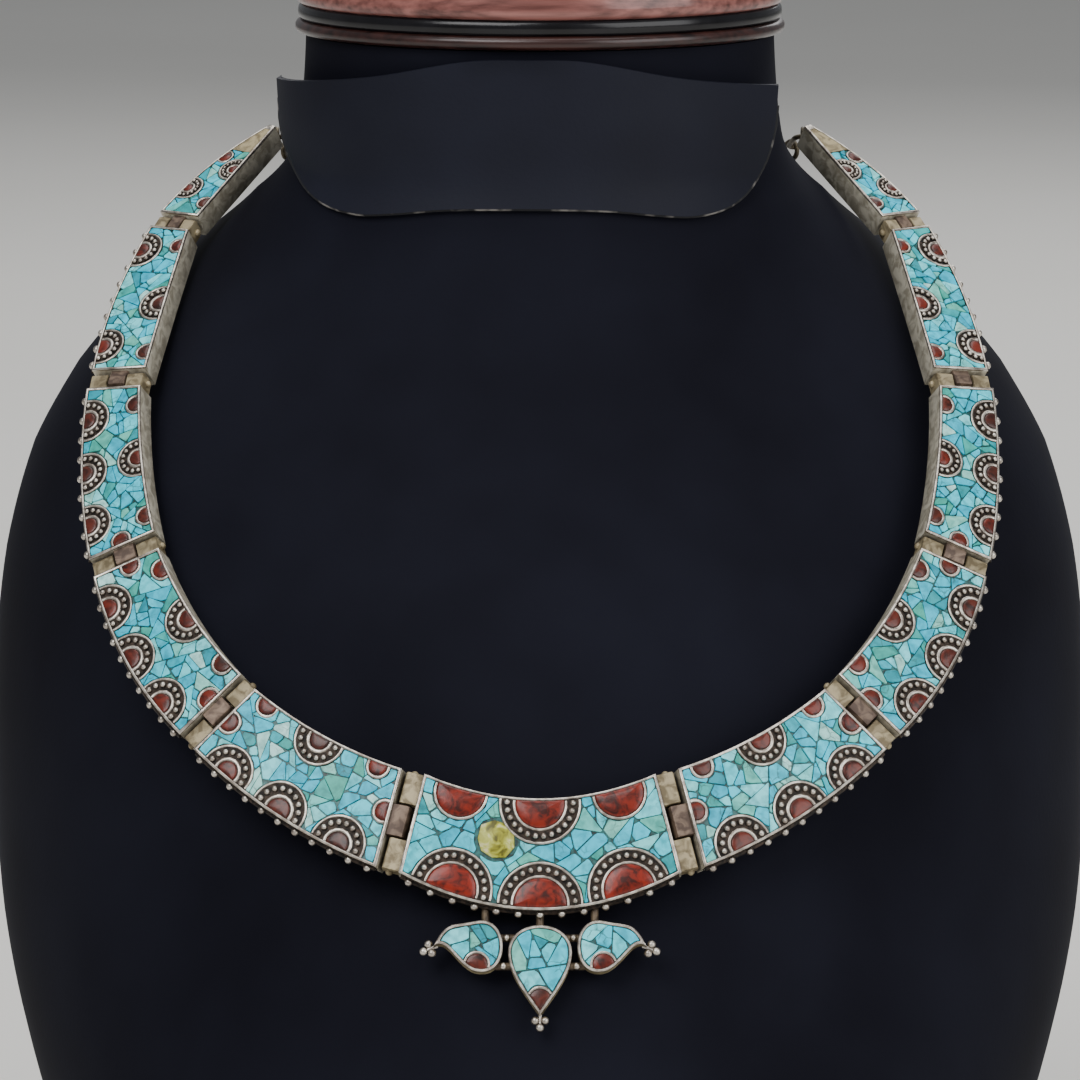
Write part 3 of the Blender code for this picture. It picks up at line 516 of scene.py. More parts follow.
def dressed(finish: Finish) -> bpy.types.Material:
    """The finish's material, made once.

    Args:
        finish: the surface.

    Returns:
        Its material.
    """
    if finish.name not in MATERIALS:
        surface = Surface(finish)
        finish.dress(surface)
        MATERIALS[finish.name] = surface.material
    return MATERIALS[finish.name]


class Shape:
    """Points and faces gathered for one piece."""

    def __init__(self) -> None:
        """Starts with nothing."""
        self.points: list[Vector] = []
        self.faces: list[tuple[int, ...]] = []
        self.tones: list[float] = []

    def skin(self, rings: Sequence[Sequence[Vector]], tone: float = 0.0, is_looped: bool = False) -> None:
        """A closed skin over rings of equal count.

        Args:
            rings: closed loops of points, in order.
            tone: the value that the finish reads from these points.
            is_looped: joins the last ring to the first instead of capping both.
        """
        base, count = len(self.points), len(rings[0])
        for ring in rings:
            self.points.extend(Vector(point) for point in ring)
        self.tones.extend([tone] * (len(rings) * count))
        for row in range(len(rings) - (not is_looped)):
            low, high = base + row * count, base + (row + 1) % len(rings) * count
            for i in range(count):
                after = (i + 1) % count
                self.faces.append((low + i, low + after, high + after, high + i))
        if not is_looped:
            self.faces.append(tuple(base + i for i in reversed(range(count))))
            self.faces.append(tuple(base + (len(rings) - 1) * count + i for i in range(count)))

    def sweep(self, path: Sequence[Vector], profile: Sequence[tuple[float, float]], up: Vector,
              is_closed: bool = False, twist: float = 0.0) -> None:
        """Draws a section along a path with mitred corners.

        Args:
            path: the points that the section's origin follows.
            profile: closed section of (sideways, up) points.
            up: the direction that the section's second number points to.
            is_closed: whether the path comes back to its start.
            twist: turn of the section per metre of path, in radians.
        """
        rings, run, count = [], 0.0, len(path)
        for i, here in enumerate(path):
            before = path[i - 1] if i or is_closed else None
            after = path[(i + 1) % count] if i < count - 1 or is_closed else None
            first = (here - before).normalized() if before is not None else (after - here).normalized()
            last = (after - here).normalized() if after is not None else first
            if before is not None and i:
                run += (here - before).length
            along = (first + last).normalized()
            side = along.cross(up).normalized()
            rise = side.cross(along).normalized()
            stretch = 1 / max(0.35, along.dot(last))
            turn = twist * run
            rings.append([
                here + side * stretch * (a * math.cos(turn) - b * math.sin(turn))
                + rise * (a * math.sin(turn) + b * math.cos(turn))
                for a, b in profile
            ])
        self.skin(rings, is_looped=is_closed)

    def ball(self, centre: Vector, radius: float, steps: int = 12) -> None:
        """A round grain.

        Args:
            centre: its centre.
            radius: its radius.
            steps: facets round it.
        """
        rows = steps // 2
        base = len(self.points)
        self.points.append(centre - Vector((0, 0, radius)))
        for row in range(1, rows):
            rise, wide = -radius * math.cos(math.pi * row / rows), radius * math.sin(math.pi * row / rows)
            self.points += [centre + Vector((x, y, rise)) for x, y in circle(wide, steps)]
        self.points.append(centre + Vector((0, 0, radius)))
        top = len(self.points) - 1
        self.tones.extend([0.0] * (top + 1 - base))
        for i in range(steps):
            after = (i + 1) % steps
            self.faces.append((base, base + 1 + after, base + 1 + i))
            self.faces.append((top, top - steps + i, top - steps + after))
            for row in range(rows - 2):
                low = base + 1 + row * steps
                self.faces.append((low + i, low + after, low + steps + after, low + steps + i))

    def make(self, name: str, finish: Finish, slot: Slot, place: Matrix = Matrix.Identity(4),
             stands_for: Iterable[str] = (), smooth: float = 35.0) -> bpy.types.Object:
        """Turns the shape into a piece on the model's body.

        Args:
            name: the piece's name.
            finish: its surface.
            slot: the record's slot that it belongs to; not used.
            place: frame that its points are given in.
            stands_for: CAD nodes that it replaces.
            smooth: edges sharper than this angle in degrees stay sharp.

        Returns:
            The new object.
        """
        mesh = bpy.data.meshes.new(name)
        mesh.from_pydata([place @ point for point in self.points], [], self.faces)
        tones = mesh.attributes.new("tone", "FLOAT", "POINT")
        tones.data.foreach_set("value", self.tones)
        work = bmesh.new()
        work.from_mesh(mesh)
        bmesh.ops.remove_doubles(work, verts=work.verts, dist=2e-6)
        bmesh.ops.dissolve_degenerate(work, edges=work.edges, dist=1e-6)
        bmesh.ops.recalc_face_normals(work, faces=work.faces)
        work.to_mesh(mesh)
        work.free()
        mesh.shade_smooth()
        mesh.set_sharp_from_angle(angle=math.radians(smooth))
        mesh.materials.append(dressed(finish))
        made = bpy.data.objects.new(name, mesh)
        bpy.context.scene.collection.objects.link(made)
        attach(made, BODY)
        if stands_for:
            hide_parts(*stands_for)
        LOG.info("%s: %d faces", name, len(mesh.polygons))
        return made


def circle(radius: float, steps: int, squash: float = 1.0) -> list[tuple[float, float]]:
    """A round or oval section.

    Args:
        radius: its half-width.
        steps: its number of points.
        squash: its height as a share of its width.

    Returns:
        Its points.
    """
    angles = [2 * math.pi * i / steps for i in range(steps)]
    return [(radius * math.cos(a), radius * squash * math.sin(a)) for a in angles]


def flat(point: Sequence[float], height: float) -> Vector:
    """A point of a face lifted to a height."""
    return Vector((point[0], point[1], height))


def polar(centre: Vector, radius: float, angle: float) -> Vector:
    """The point of a face at a distance and an angle from a centre."""
    return centre + Vector((math.cos(angle), math.sin(angle))) * radius


def stepped(outline: Callable[[float], Sequence[Vector]], profile: Sequence[tuple[float, float]],
            lift: float = 0.0) -> list[list[Vector]]:
    """The rings of a wall that follows an outline.

    Args:
        outline: gives the outline at a distance inside itself.
        profile: distance inside the outline and height of each ring.
        lift: what is added to the heights.

    Returns:
        The rings, in the profile's order.
    """
    return [[flat(spot, lift + height) for spot in outline(distance)] for distance, height in profile]


def run_of(path: Sequence[Vector]) -> list[float]:
    """The length of a path up to each of its points."""
    lengths = [0.0]
    for a, b in zip(path, path[1:]):
        lengths.append(lengths[-1] + (b - a).length)
    return lengths


def frame_of(origin: Vector, *axes: Vector) -> Matrix:
    """The frame with an origin and three axes."""
    return Matrix.Translation(origin) @ Matrix(axes).transposed().to_4x4()


def edges_of(loop: Sequence[Vector]) -> list[tuple[Vector, Vector]]:
    """The straight edges of a closed loop."""
    return list(zip(loop, list(loop[1:]) + list(loop[:1])))


def closest_on(spot: Vector, start: Vector, end: Vector) -> Vector:
    """The point of a straight edge nearest to a spot."""
    chord = end - start
    share = min(1.0, max(0.0, (spot - start).dot(chord) / max(chord.length_squared, 1e-18)))
    return start + chord * share


def is_inside(spot: Vector, loop: Sequence[Vector]) -> bool:
    """Whether a spot lies inside a closed loop."""
    inside = False
    for a, b in edges_of(loop):
        if (a.y > spot.y) != (b.y > spot.y) and spot.x < (b.x - a.x) * (spot.y - a.y) / (b.y - a.y) + a.x:
            inside = not inside
    return inside


def nearest_on(spot: Vector, loop: Sequence[Vector]) -> Vector:
    """The point of a closed loop nearest to a spot."""
    found = (closest_on(spot, a, b) for a, b in edges_of(loop))
    return min(found, key=lambda point: (point - spot).length_squared)


def area_of(loop: Sequence[Vector]) -> float:
    """The area of a closed loop."""
    return abs(sum(a.x * b.y - b.x * a.y for a, b in edges_of(loop))) / 2


def middle_of(loop: Sequence[Vector]) -> Vector:
    """The centre of area of a closed loop."""
    total, centre = 0.0, Vector((0.0, 0.0))
    for a, b in edges_of(loop):
        cross = a.x * b.y - b.x * a.y
        total += cross
        centre += (a + b) * cross
    return centre / (3 * total)


def level(line: Sequence[tuple[float, float]], x: float) -> float:
    """The height at x of a smooth curve through the points of a line.

    Args:
        line: distance and height of each point, by distance.
        x: the distance asked for.

    Returns:
        The height, on a cubic between two points that keeps their slopes.
    """
    last = len(line) - 1
    around = [(line[max(0, i - 1)], line[min(last, i + 1)]) for i in range(last + 1)]
    slopes = [0.0] + [(after[1] - before[1]) / (after[0] - before[0]) for before, after in around[1:]]
    at = next((i for i in range(last) if x <= line[i + 1][0]), last - 1)
    (x0, z0), (x1, z1) = line[at], line[at + 1]
    step, t = x1 - x0, min(1.0, (x - x0) / (x1 - x0))
    return (z0 * (1 + 2 * t) * (1 - t) ** 2 + slopes[at] * step * t * (1 - t) ** 2
            + z1 * t * t * (3 - 2 * t) - slopes[at + 1] * step * t * t * (1 - t))


@dataclass
class Panel:
    """A flat panel's frame and outline. Pairs hold the start's or the inner edge's value first."""

    corner: Vector
    out: Vector
    along: Vector
    face: Vector
    length: float
    widths: tuple[float, float]
    cuts: tuple[float, float]
    bows: tuple[float, float]

    def __post_init__(self) -> None:
        """Works out the four corners and the far end's directions."""
        start_cut, end_cut = (math.radians(angle) for angle in self.cuts)
        turn = start_cut + end_cut
        self.end_out = self.out * math.cos(turn) + self.along * math.sin(turn)
        self.end_along = self.along * math.cos(turn) - self.out * math.sin(turn)
        self.inner_start = Vector((0.0, 0.0))
        self.outer_start = Vector((self.widths[0], 0.0))
        self.inner_end = Vector((-math.sin(start_cut), math.cos(start_cut))) * self.length
        self.end_turn = Vector((math.cos(turn), math.sin(turn)))
        self.outer_end = self.inner_end + self.end_turn * self.widths[1]

    def matrix(self) -> Matrix:
        """The panel's frame."""
        return frame_of(self.corner, self.out, self.along, self.face)

    def point(self, spot: Sequence[float], height: float = 0.0) -> Vector:
        """A point of the panel in the model's frame."""
        return self.corner + self.out * spot[0] + self.along * spot[1] + self.face * height

    def edge(self, edge: Edge, share: float) -> Vector:
        """A point of the inner or outer edge, at a share of its length."""
        start, end, bow = (
            (self.inner_start, self.inner_end, self.bows[0]) if edge is Edge.INNER
            else (self.outer_start, self.outer_end, self.bows[1])
        )
        chord = end - start
        outward = Vector((chord.y, -chord.x)).normalized()
        return start + chord * share + outward * (4 * bow * self.length * share * (1 - share))

    def inset(self, edge: Edge, share: float, distance: float) -> Vector:
        """A point that distance inside an edge."""
        inner, outer = self.edge(Edge.INNER, share), self.edge(Edge.OUTER, share)
        across = (outer - inner).normalized()
        return inner + across * distance if edge is Edge.INNER else outer - across * distance

    def across(self, share: float, depth: float) -> Vector:
        """A point at a share of the length and a share of the width from the inner edge."""
        return self.edge(Edge.INNER, share).lerp(self.edge(Edge.OUTER, share), depth)

    def span(self, distance: float, least: float = 0.0012) -> tuple[float, float]:
        """The shares of the length between which a body inset by that distance fits."""
        first, last = distance / self.length, 1 - distance / self.length
        while (self.edge(Edge.OUTER, last) - self.edge(Edge.INNER, last)).length < 2 * distance + least:
            last -= 0.01
        return first, last

    def outline(self, distance: float = 0.0, steps: int = 24) -> list[Vector]:
        """The panel's outline, inset by a distance.

        Args:
            distance: how far inside the panel's own outline it lies.
            steps: straight pieces along each long edge.

        Returns:
            Its points: along the inner edge, then back along the outer one.
        """
        first, last = self.span(distance) if distance else (0.0, 1.0)
        shares = [first + (last - first) * i / steps for i in range(steps + 1)]
        return ([self.inset(Edge.INNER, share, distance) for share in shares]
                + [self.inset(Edge.OUTER, share, distance) for share in reversed(shares)])

    def seat(self, edge: Edge, place: float, distance: float) -> Vector:
        """The point of the inset outline where an ornament is centred."""
        first, last = self.span(distance)
        if edge in (Edge.INNER, Edge.OUTER):
            return self.inset(edge, first + (last - first) * place, distance)
        share = first if edge is Edge.START else last
        return self.inset(Edge.INNER, share, distance).lerp(self.inset(Edge.OUTER, share, distance), place)


@dataclass
class Setting:
    """An ornament laid out in a face: its centre and its radii, all in the face's plane."""

    kind: Kind
    centre: Vector
    radius: float
    wire: float = 0.00027
    band_limit: float = 0.0019
    band_share: float = 0.35
    ring_limit: float = 0.0006
    ring_share: float = 0.18

    def coral_radius(self) -> float:
        """Where the coral ends and its wire begins."""
        if self.kind is Kind.MOON:
            return self.radius - min(self.ring_limit, 0.3 * self.radius)
        ring = min(self.ring_limit, self.ring_share * self.radius)
        return self.radius - 2 * self.wire - min(self.band_limit, self.band_share * self.radius) - ring

    def grain_radius(self) -> float:
        """The radius of the grains in its band."""
        return 0.29 * min(self.band_limit, self.band_share * self.radius)

    def arc(self, radius: float, domain: Sequence[Vector], steps: int = 120) -> list[Vector]:
        """The longest stretch of a circle round the centre that lies inside the domain.

        Args:
            radius: the circle's radius.
            domain: closed loop that bounds the face.
            steps: samples round the whole circle.

        Returns:
            The stretch's points in order.
        """
        spots = [polar(self.centre, radius, 2 * math.pi * i / steps) for i in range(steps)]
        inside = [is_inside(spot, domain) for spot in spots]
        best: list[int] = []
        for start in range(steps):
            if not inside[start] or (inside[start - 1] and not all(inside)):
                continue
            run = []
            while inside[(start + len(run)) % steps] and len(run) < steps:
                run.append((start + len(run)) % steps)
            if len(run) > len(best):
                best = run
        return [spots[i] for i in best]

    def disc(self, radius: float, domain: Sequence[Vector], steps: int = 48) -> list[Vector]:
        """A disc round the centre, trimmed to the domain.

        Args:
            radius: the disc's radius.
            domain: closed loop that bounds the face.
            steps: points round it.

        Returns:
            Its outline.
        """
        loop = []
        for i in range(steps):
            spot = polar(self.centre, radius, 2 * math.pi * i / steps)
            if not is_inside(spot, domain):
                spot = nearest_on(spot, domain)
            if not loop or (spot - loop[-1]).length > 4e-5:
                loop.append(spot)
        return loop


@dataclass
class Jeweller:
    """Builds ornaments and stones into a face. Heights are over the face that they lie in."""

    bed: float = -0.0003
    floor: float = -0.00008
    wire_rise: float = 0.00014
    coral_sink: float = -0.00035
    coral_rise: float = 0.0003
    chip_top: float = 0.00002
    chip_gaps: tuple[float, float] = (0.00009, 0.00024)
    chip_bevel: float = 0.0001
    chip_least: float = 0.5e-6
    chip_spread: tuple[float, float] = (0.55, 2.2)
    crack_turn: float = 0.26
    crack_shift: float = 0.16
    nip_chance: float = 0.8
    nip_least: float = 0.0006
    nip_shares: tuple[float, float] = (0.08, 0.3)
    chip_turn: float = 0.012
    chip_lift: float = 0.00006
    chip_tilt: float = 0.035
    tilt_limit: float = 0.0001
    chip_sink: float = 0.0001
    grain_pitch: float = 2.75
    grain_stand: float = 0.45
    arc_step: float = 0.00035
    metal: Shape = field(default_factory=Shape)
    black: Shape = field(default_factory=Shape)
    coral: Shape = field(default_factory=Shape)
    chips: Shape = field(default_factory=Shape)

    def dome(self, loop: Sequence[Vector], rise: float, tone: float) -> None:
        """A low polished dome over an outline.

        Args:
            loop: its outline.
            rise: how far its middle stands over the face.
            tone: the finish's value.
        """
        centre = middle_of(loop)
        rings = [[flat(spot, self.coral_sink) for spot in loop]]
        for share in (1.0, 0.985, 0.93, 0.8, 0.6, 0.35, 0.1):
            height = self.wire_rise * 0.3 + (rise - self.wire_rise * 0.3) * math.sqrt(1 - share * share)
            rings.append([flat(centre + (spot - centre) * share, height) for spot in loop])
        self.coral.skin(rings, tone)

    def set_ornament(self, setting: Setting, domain: Sequence[Vector], tone: float) -> None:
        """Builds one ornament: its wires, its floor, its grains and its coral.

        Args:
            setting: the ornament.
            domain: closed loop that bounds the face.
            tone: the coral's value, 0 for bright red and 1 for brown.
        """
        up = Vector((0, 0, 1))
        coral = setting.coral_radius()
        if setting.kind is Kind.MOON:
            wires = [(coral, setting.radius)]
        else:
            ring = min(setting.ring_limit, setting.ring_share * setting.radius)
            wires = [(coral, coral + ring), (setting.radius - 2 * setting.wire, setting.radius)]
            under = setting.disc(setting.radius - setting.wire, domain)
            self.black.skin(stepped(lambda _: under, ((0.0, self.coral_sink), (0.0, self.floor))))
            middle = (coral + ring + setting.radius - 2 * setting.wire) / 2
            self.set_grains(setting.arc(middle, domain), setting.grain_radius())
        for low, high in wires:
            path = [flat(spot, 0.0) for spot in setting.arc((low + high) / 2, domain)]
            half = (high - low) / 2
            section = [(-half, self.coral_sink), (-half, self.wire_rise - half * 0.7),
                       (-half * 0.75, self.wire_rise - half * 0.25), (-half * 0.3, self.wire_rise),
                       (half * 0.3, self.wire_rise), (half * 0.75, self.wire_rise - half * 0.25),
                       (half, self.wire_rise - half * 0.7), (half, self.coral_sink)]
            if len(path) > 2:
                self.metal.sweep(path, section, up)
        large = coral > 0.003
        self.dome(setting.disc(coral, domain), self.coral_rise * (1.6 if large else 0.8), tone)

    def set_grains(self, path: Sequence[Vector], radius: float) -> None:
        """A row of grains along an arc.

        Args:
            path: the arc's points.
            radius: a grain's radius.
        """
        lengths = run_of(path)
        usable = lengths[-1] - 2 * radius
        count = max(2, round(usable / (self.grain_pitch * radius)) + 1)
        for i in range(count):
            distance = radius + usable * i / (count - 1)
            at = next(k for k in range(1, len(path)) if lengths[k] >= distance or k == len(path) - 1)
            share = (distance - lengths[at - 1]) / max(lengths[at] - lengths[at - 1], 1e-9)
            spot = path[at - 1].lerp(path[at], share)
            self.metal.ball(flat(spot, self.floor + radius * self.grain_stand), radius)

    def set_chips(self, domain: Sequence[Vector], discs: Sequence[tuple[Vector, float]], size: float,
                  dice: random.Random) -> None:
        """Fills a face with angular chips of stone.

        Args:
            domain: closed loop that bounds the face.
            discs: centre and radius of each round thing that the chips keep clear of.
            size: width of a usual chip.
            dice: the face's own random draws.
        """
        for part in self.broken(domain, size, dice):
            loops = [part]
            for centre, radius in discs:
                loops = [left for loop in loops for left in self.less_disc(loop, centre, radius)]
            for loop in loops:
                loop = self.eased(self.cleaned(loop), dice)
                if len(loop) > 2 and area_of(loop) > self.chip_least:
                    self.chip(self.chips, loop, dice, dice.random())

    def broken(self, loop: Sequence[Vector], size: float, dice: random.Random) -> list[list[Vector]]:
        """Breaks an outline into angular pieces by straight cracks across their longest reach.

        Args:
            loop: the outline.
            size: width of a usual piece.
            dice: the face's own random draws.

        Returns:
            The pieces' outlines.
        """
        area = area_of(loop)
        if area < size * size * dice.uniform(*self.chip_spread):
            return [list(loop)]
        centre = middle_of(loop)
        along = max((spot - centre for spot in loop), key=lambda reach: reach.length).normalized()
        turn = dice.gauss(0.0, self.crack_turn)
        normal = Vector((along.x * math.cos(turn) - along.y * math.sin(turn),
                         along.x * math.sin(turn) + along.y * math.cos(turn)))
        shift = dice.uniform(-self.crack_shift, self.crack_shift) * math.sqrt(area)
        halves = (self.cut(loop, normal * sign, centre, shift * sign) for sign in (1, -1))
        return [piece for half in halves if len(half) > 2 for piece in self.broken(half, size, dice)]

    def cut(self, loop: Sequence[Vector], normal: Vector, base: Vector, limit: float) -> list[Vector]:
        """The part of an outline that lies short of a line.

        Args:
            loop: the outline.
            normal: direction across the line.
            base: the point that the limit is measured from.
            limit: how far along the normal the line lies.

        Returns:
            What is left of the outline.
        """
        kept = []
        for a, b in edges_of(loop):
            da, db = (a - base).dot(normal) - limit, (b - base).dot(normal) - limit
            if da <= 0:
                kept.append(a)
            if (da < 0 < db) or (db < 0 < da):
                kept.append(a.lerp(b, da / (da - db)))
        return kept

    def less_disc(self, loop: Sequence[Vector], centre: Vector, radius: float) -> list[list[Vector]]:
        """What a disc leaves of an outline.

        Args:
            loop: the outline.
            centre: the disc's centre.
            radius: the disc's radius.

        Returns:
            The outlines of the pieces outside the disc.
        """
        spots = []
        for a, b in edges_of(loop):
            pieces = max(1, round((b - a).length / 0.0001))
            spots += [a.lerp(b, i / pieces) for i in range(pieces)]
        is_out = [(spot - centre).length > radius for spot in spots]
        if all(is_out) or not any(is_out):
            return [list(loop)] if is_out[0] else []
        made = []
        for start in (i for i in range(len(spots)) if is_out[i] and not is_out[i - 1]):
            run = []
            while is_out[(start + len(run)) % len(spots)]:
                run.append(spots[(start + len(run)) % len(spots)])
            here, there = (math.atan2(*reversed(end - centre)) for end in (run[-1], run[0]))
            sweeps = [(there - here) % (2 * math.pi), (there - here) % (2 * math.pi) - 2 * math.pi]
            found = [sweep for sweep in sweeps if is_inside(polar(centre, radius, here + sweep / 2), loop)]
            sweep = min(found or sweeps, key=abs)
            steps = max(2, round(abs(sweep) * radius / self.arc_step))
            made.append(run + [polar(centre, radius, here + sweep * i / steps) for i in range(1, steps)])
        return made

    def eased(self, loop: Sequence[Vector], dice: random.Random) -> list[Vector]:
        """A chip's outline with its gap taken off, turned a little, and with some corners broken off.

        Args:
            loop: the outline.
            dice: the face's own random draws.

        Returns:
            The new outline.
        """
        if len(loop) < 3:
            return []
        nipped: list[Vector] = []
        for i, spot in enumerate(loop):
            before, after = loop[i - 1] - spot, loop[(i + 1) % len(loop)] - spot
            least = min(before.length, after.length)
            if least > self.nip_least and dice.random() < self.nip_chance:
                nipped += [spot + side.normalized() * least * dice.uniform(*self.nip_shares)
                           for side in (before, after)]
            else:
                nipped.append(spot)
        centre = middle_of(nipped)
        gap = dice.uniform(*self.chip_gaps)
        turn = Matrix.Rotation(dice.gauss(0, self.chip_turn), 2)
        return [centre + turn @ (spot - centre) * max(0.3, 1 - gap / max((spot - centre).length, 1e-6))
                for spot in nipped]

    def cleaned(self, loop: Sequence[Vector]) -> list[Vector]:
        """An outline without crowded or needless points."""
        spaced: list[Vector] = []
        for spot in loop:
            if not spaced or (spot - spaced[-1]).length > 0.00009:
                spaced.append(spot)
        kept: list[Vector] = []
        for i, spot in enumerate(spaced):
            before, after = kept[-1] if kept else spaced[-1], spaced[(i + 1) % len(spaced)]
            if (closest_on(spot, before, after) - spot).length > 0.000012:
                kept.append(spot)
        return kept

    def chip(self, shape: Shape, loop: Sequence[Vector], dice: random.Random, tone: float) -> None:
        """One chip: its sides, a worn edge and its ground top, tilted a little.

        Args:
            shape: the piece it goes into.
            loop: its outline.
            dice: the face's own random draws.
            tone: its colour value.
        """
        centre = middle_of(loop)
        size = math.sqrt(area_of(loop) / math.pi)
        lift = self.chip_top + dice.uniform(-self.chip_lift, self.chip_lift)
        tilt = Vector((dice.gauss(0, self.chip_tilt), dice.gauss(0, self.chip_tilt)))
        worn = max(0.6, 1 - self.chip_bevel / size)
        soft = max(0.75, 1 - 0.4 * self.chip_bevel / size)

        def ring(share: float, drop: float) -> list[Vector]:
            """The outline at a share of its size, and a drop under the top."""
            spots = [centre + (spot - centre) * share for spot in loop]
            rises = (max(-self.tilt_limit, min(self.tilt_limit, tilt.dot(spot - centre))) for spot in spots)
            return [flat(spot, lift + rise - drop) for spot, rise in zip(spots, rises)]

        low = [flat(spot, self.bed - self.chip_sink) for spot in loop]
        tops = [ring(1.0, self.chip_bevel), ring(soft, self.chip_bevel * 0.35), ring(worn, 0.0)]
        shape.skin([low, *tops], tone)


@dataclass
class Collar:
    """The eleven hinged panels: their sizes, and how each follows the one before."""

    front_reach: float = 0.0619
    front_height: float = 0.1287
    front_lean: float = 23.3
    case_depth: float = 0.0052
    wall: float = 0.0007
    rim: float = 0.00046
    floor: float = 0.0008
    centre_length: float = 0.0416
    panel_length: float = 0.033
    panel_width: float = 0.0185
    tip_width: float = 0.0015
    hinge_gap: float = 0.0036
    hinge_depth: float = 0.0029
    barrel_radius: float = 0.0014
    knuckle_rise: float = 0.0023
    clearance: float = 0.0003
    rosette_radius: float = 0.0055
    moon_radius: float = 0.0024
    grain_depths: tuple[float, ...] = (0.0016, 0.0015, 0.0015, 0.0014, 0.001, 0.001)
    grain_radius: float = 0.00075
    grain_out: float = 0.0006
    plate_share: float = 0.7
    centre_cut: float = 14.3
    centre_bows: tuple[float, float] = (0.109, 0.166)
    wall_grains: tuple[int, ...] = (13, 11, 10, 9, 9, 0)
    chip_sizes: tuple[float, ...] = (0.0034, 0.0029, 0.0027, 0.0025, 0.0024, 0.0022)
    olive_place: tuple[float, float] = (0.329, 0.4)
    olive_radius: float = 0.004
    bed_gap: float = 0.00002
    tip_kerb: float = 0.00002
    side_tones: tuple[float, float] = (0.5, 1.0)
    centre_tones: tuple[float, float] = (0.0, 0.25)
    ring_limits: tuple[float, float] = (0.0006, 0.00085)
    pin_head: float = 0.00075
    # distance inside the outline and height
    tray_profile: tuple[tuple[float, float], ...] = (
        (0.0005, -0.0052), (0.00012, -0.00512), (0.0, -0.0049), (0.0, -0.0002), (0.0001, -0.00005),
        (0.0004, -0.00005), (0.00045, -0.00015), (0.00045, -0.0007), (0.0007, -0.0009), (0.0007, -0.0044))
    rim_profile: tuple[tuple[float, float], ...] = (
        (0.00048, -0.0006), (0.00048, 0.0), (0.0004, 0.00011), (0.00024, 0.00016), (0.00007, 0.00009),
        (-0.00003, -0.00004), (-0.00003, -0.0003), (0.0002, -0.0006))
    # length, end width (as shares), start cut, end cut, bend (degrees), inner bow, outer bow
    rows: tuple[tuple[float, ...], ...] = (
        (0.982, 0.843, 16.5, 16.2, 14.4, 0.045, 0.062),
        (1.008, 0.735, 8.7, 15.7, 10.9, 0.045, 0.072),
        (1.006, 0.616, 6.5, 17.2, 5.3, 0.030, 0.045),
        (1.094, 0.476, -3.5, 15.5, 12.7, 0.004, 0.045),
        (0.822, 0.0, 5.0, 8.8, 5.5, 0.0, 0.070),
    )
    # kind and edge by their first letters, place along the edge, radius as a share of the kind's own
    ornaments: tuple[tuple[tuple[str, float, float], ...], ...] = (
        (("ri", 0.50, 1.35), ("mi", 0.145, 2.08), ("mi", 0.855, 2.08),
         ("ro", 0.165, 1.38), ("ro", 0.50, 1.42), ("ro", 0.835, 1.38)),
        (("mi", 0.11, 1.0), ("ri", 0.51, 0.90), ("mi", 0.90, 1.0), ("ms", 0.45, 0.98), ("me", 0.49, 1.0),
         ("ro", 0.18, 0.99), ("ro", 0.515, 1.0), ("ro", 0.835, 0.93)),
        (("mi", 0.11, 1.0), ("ri", 0.50, 0.88), ("mi", 0.89, 0.98), ("ms", 0.47, 1.0), ("me", 0.45, 0.92),
         ("ro", 0.175, 0.95), ("ro", 0.50, 0.93), ("ro", 0.825, 0.90)),
        (("mi", 0.10, 0.90), ("ri", 0.52, 0.76), ("mi", 0.90, 0.86), ("ms", 0.50, 0.88),
         ("ro", 0.17, 0.83), ("ro", 0.50, 0.82), ("ro", 0.83, 0.83)),
        (("mi", 0.09, 0.88), ("ri", 0.46, 0.80), ("mi", 0.90, 0.80), ("ro", 0.14, 0.82), ("ro", 0.85, 0.80)),
        (("mi", 0.12, 0.70), ("ri", 0.56, 0.56), ("ro", 0.26, 0.58), ("mo", 0.68, 0.75)),
    )

    def centre(self) -> Panel:
        """The panel at the front, its face leaning back."""
        lean, cut = math.radians(self.front_lean), math.radians(self.centre_cut)
        down = Vector((0, -math.sin(lean), -math.cos(lean)))
        sideways = Vector((1, 0, 0))
        return Panel(
            corner=Vector((-self.centre_length / 2, -self.front_reach, self.front_height)),
            out=down * math.cos(cut) - sideways * math.sin(cut),
            along=sideways * math.cos(cut) + down * math.sin(cut),
            face=Vector((0, -math.cos(lean), math.sin(lean))),
            length=self.centre_length,
            widths=(self.panel_width, self.panel_width),
            cuts=(self.centre_cut, self.centre_cut),
            bows=self.centre_bows,
        )

    def hinge_axis(self, panel: Panel) -> Vector:
        """The inner end of the hinge axis past a panel's far end."""
        return panel.point(panel.inner_end, -self.hinge_depth) + panel.end_along * (self.hinge_gap / 2)

    def following(self, before: Panel, row: Sequence[float]) -> Panel:
        """The panel that follows another one, turned back about the hinge between them."""
        length, end_width, start_cut, end_cut, bend, inner_bow, outer_bow = row
        turn = Matrix.Rotation(-math.radians(bend), 3, before.end_out)
        axis = self.hinge_axis(before)
        return Panel(
            corner=axis + turn @ (before.end_along * (self.hinge_gap / 2) + before.face * self.hinge_depth),
            out=before.end_out,
            along=turn @ before.end_along,
            face=turn @ before.face,
            length=length * self.panel_length,
            widths=(before.widths[1], end_width * self.panel_width or self.tip_width),
            cuts=(start_cut, end_cut),
            bows=(inner_bow, outer_bow),
        )

    def panels(self) -> list[Panel]:
        """The centre panel and the five of the right half."""
        made = [self.centre()]
        for row in self.rows:
            made.append(self.following(made[-1], row))
        return made

    def build(self) -> None:
        """Builds every panel with its stones and the hinges between them."""
        panels = self.panels()
        self.build_panel(panels[0], 0, None)
        for number, panel in enumerate(panels[1:], 1):
            for side in Side:
                self.build_panel(panel, number, side)
                self.build_hinge(panels[number - 1], panel, number, side)

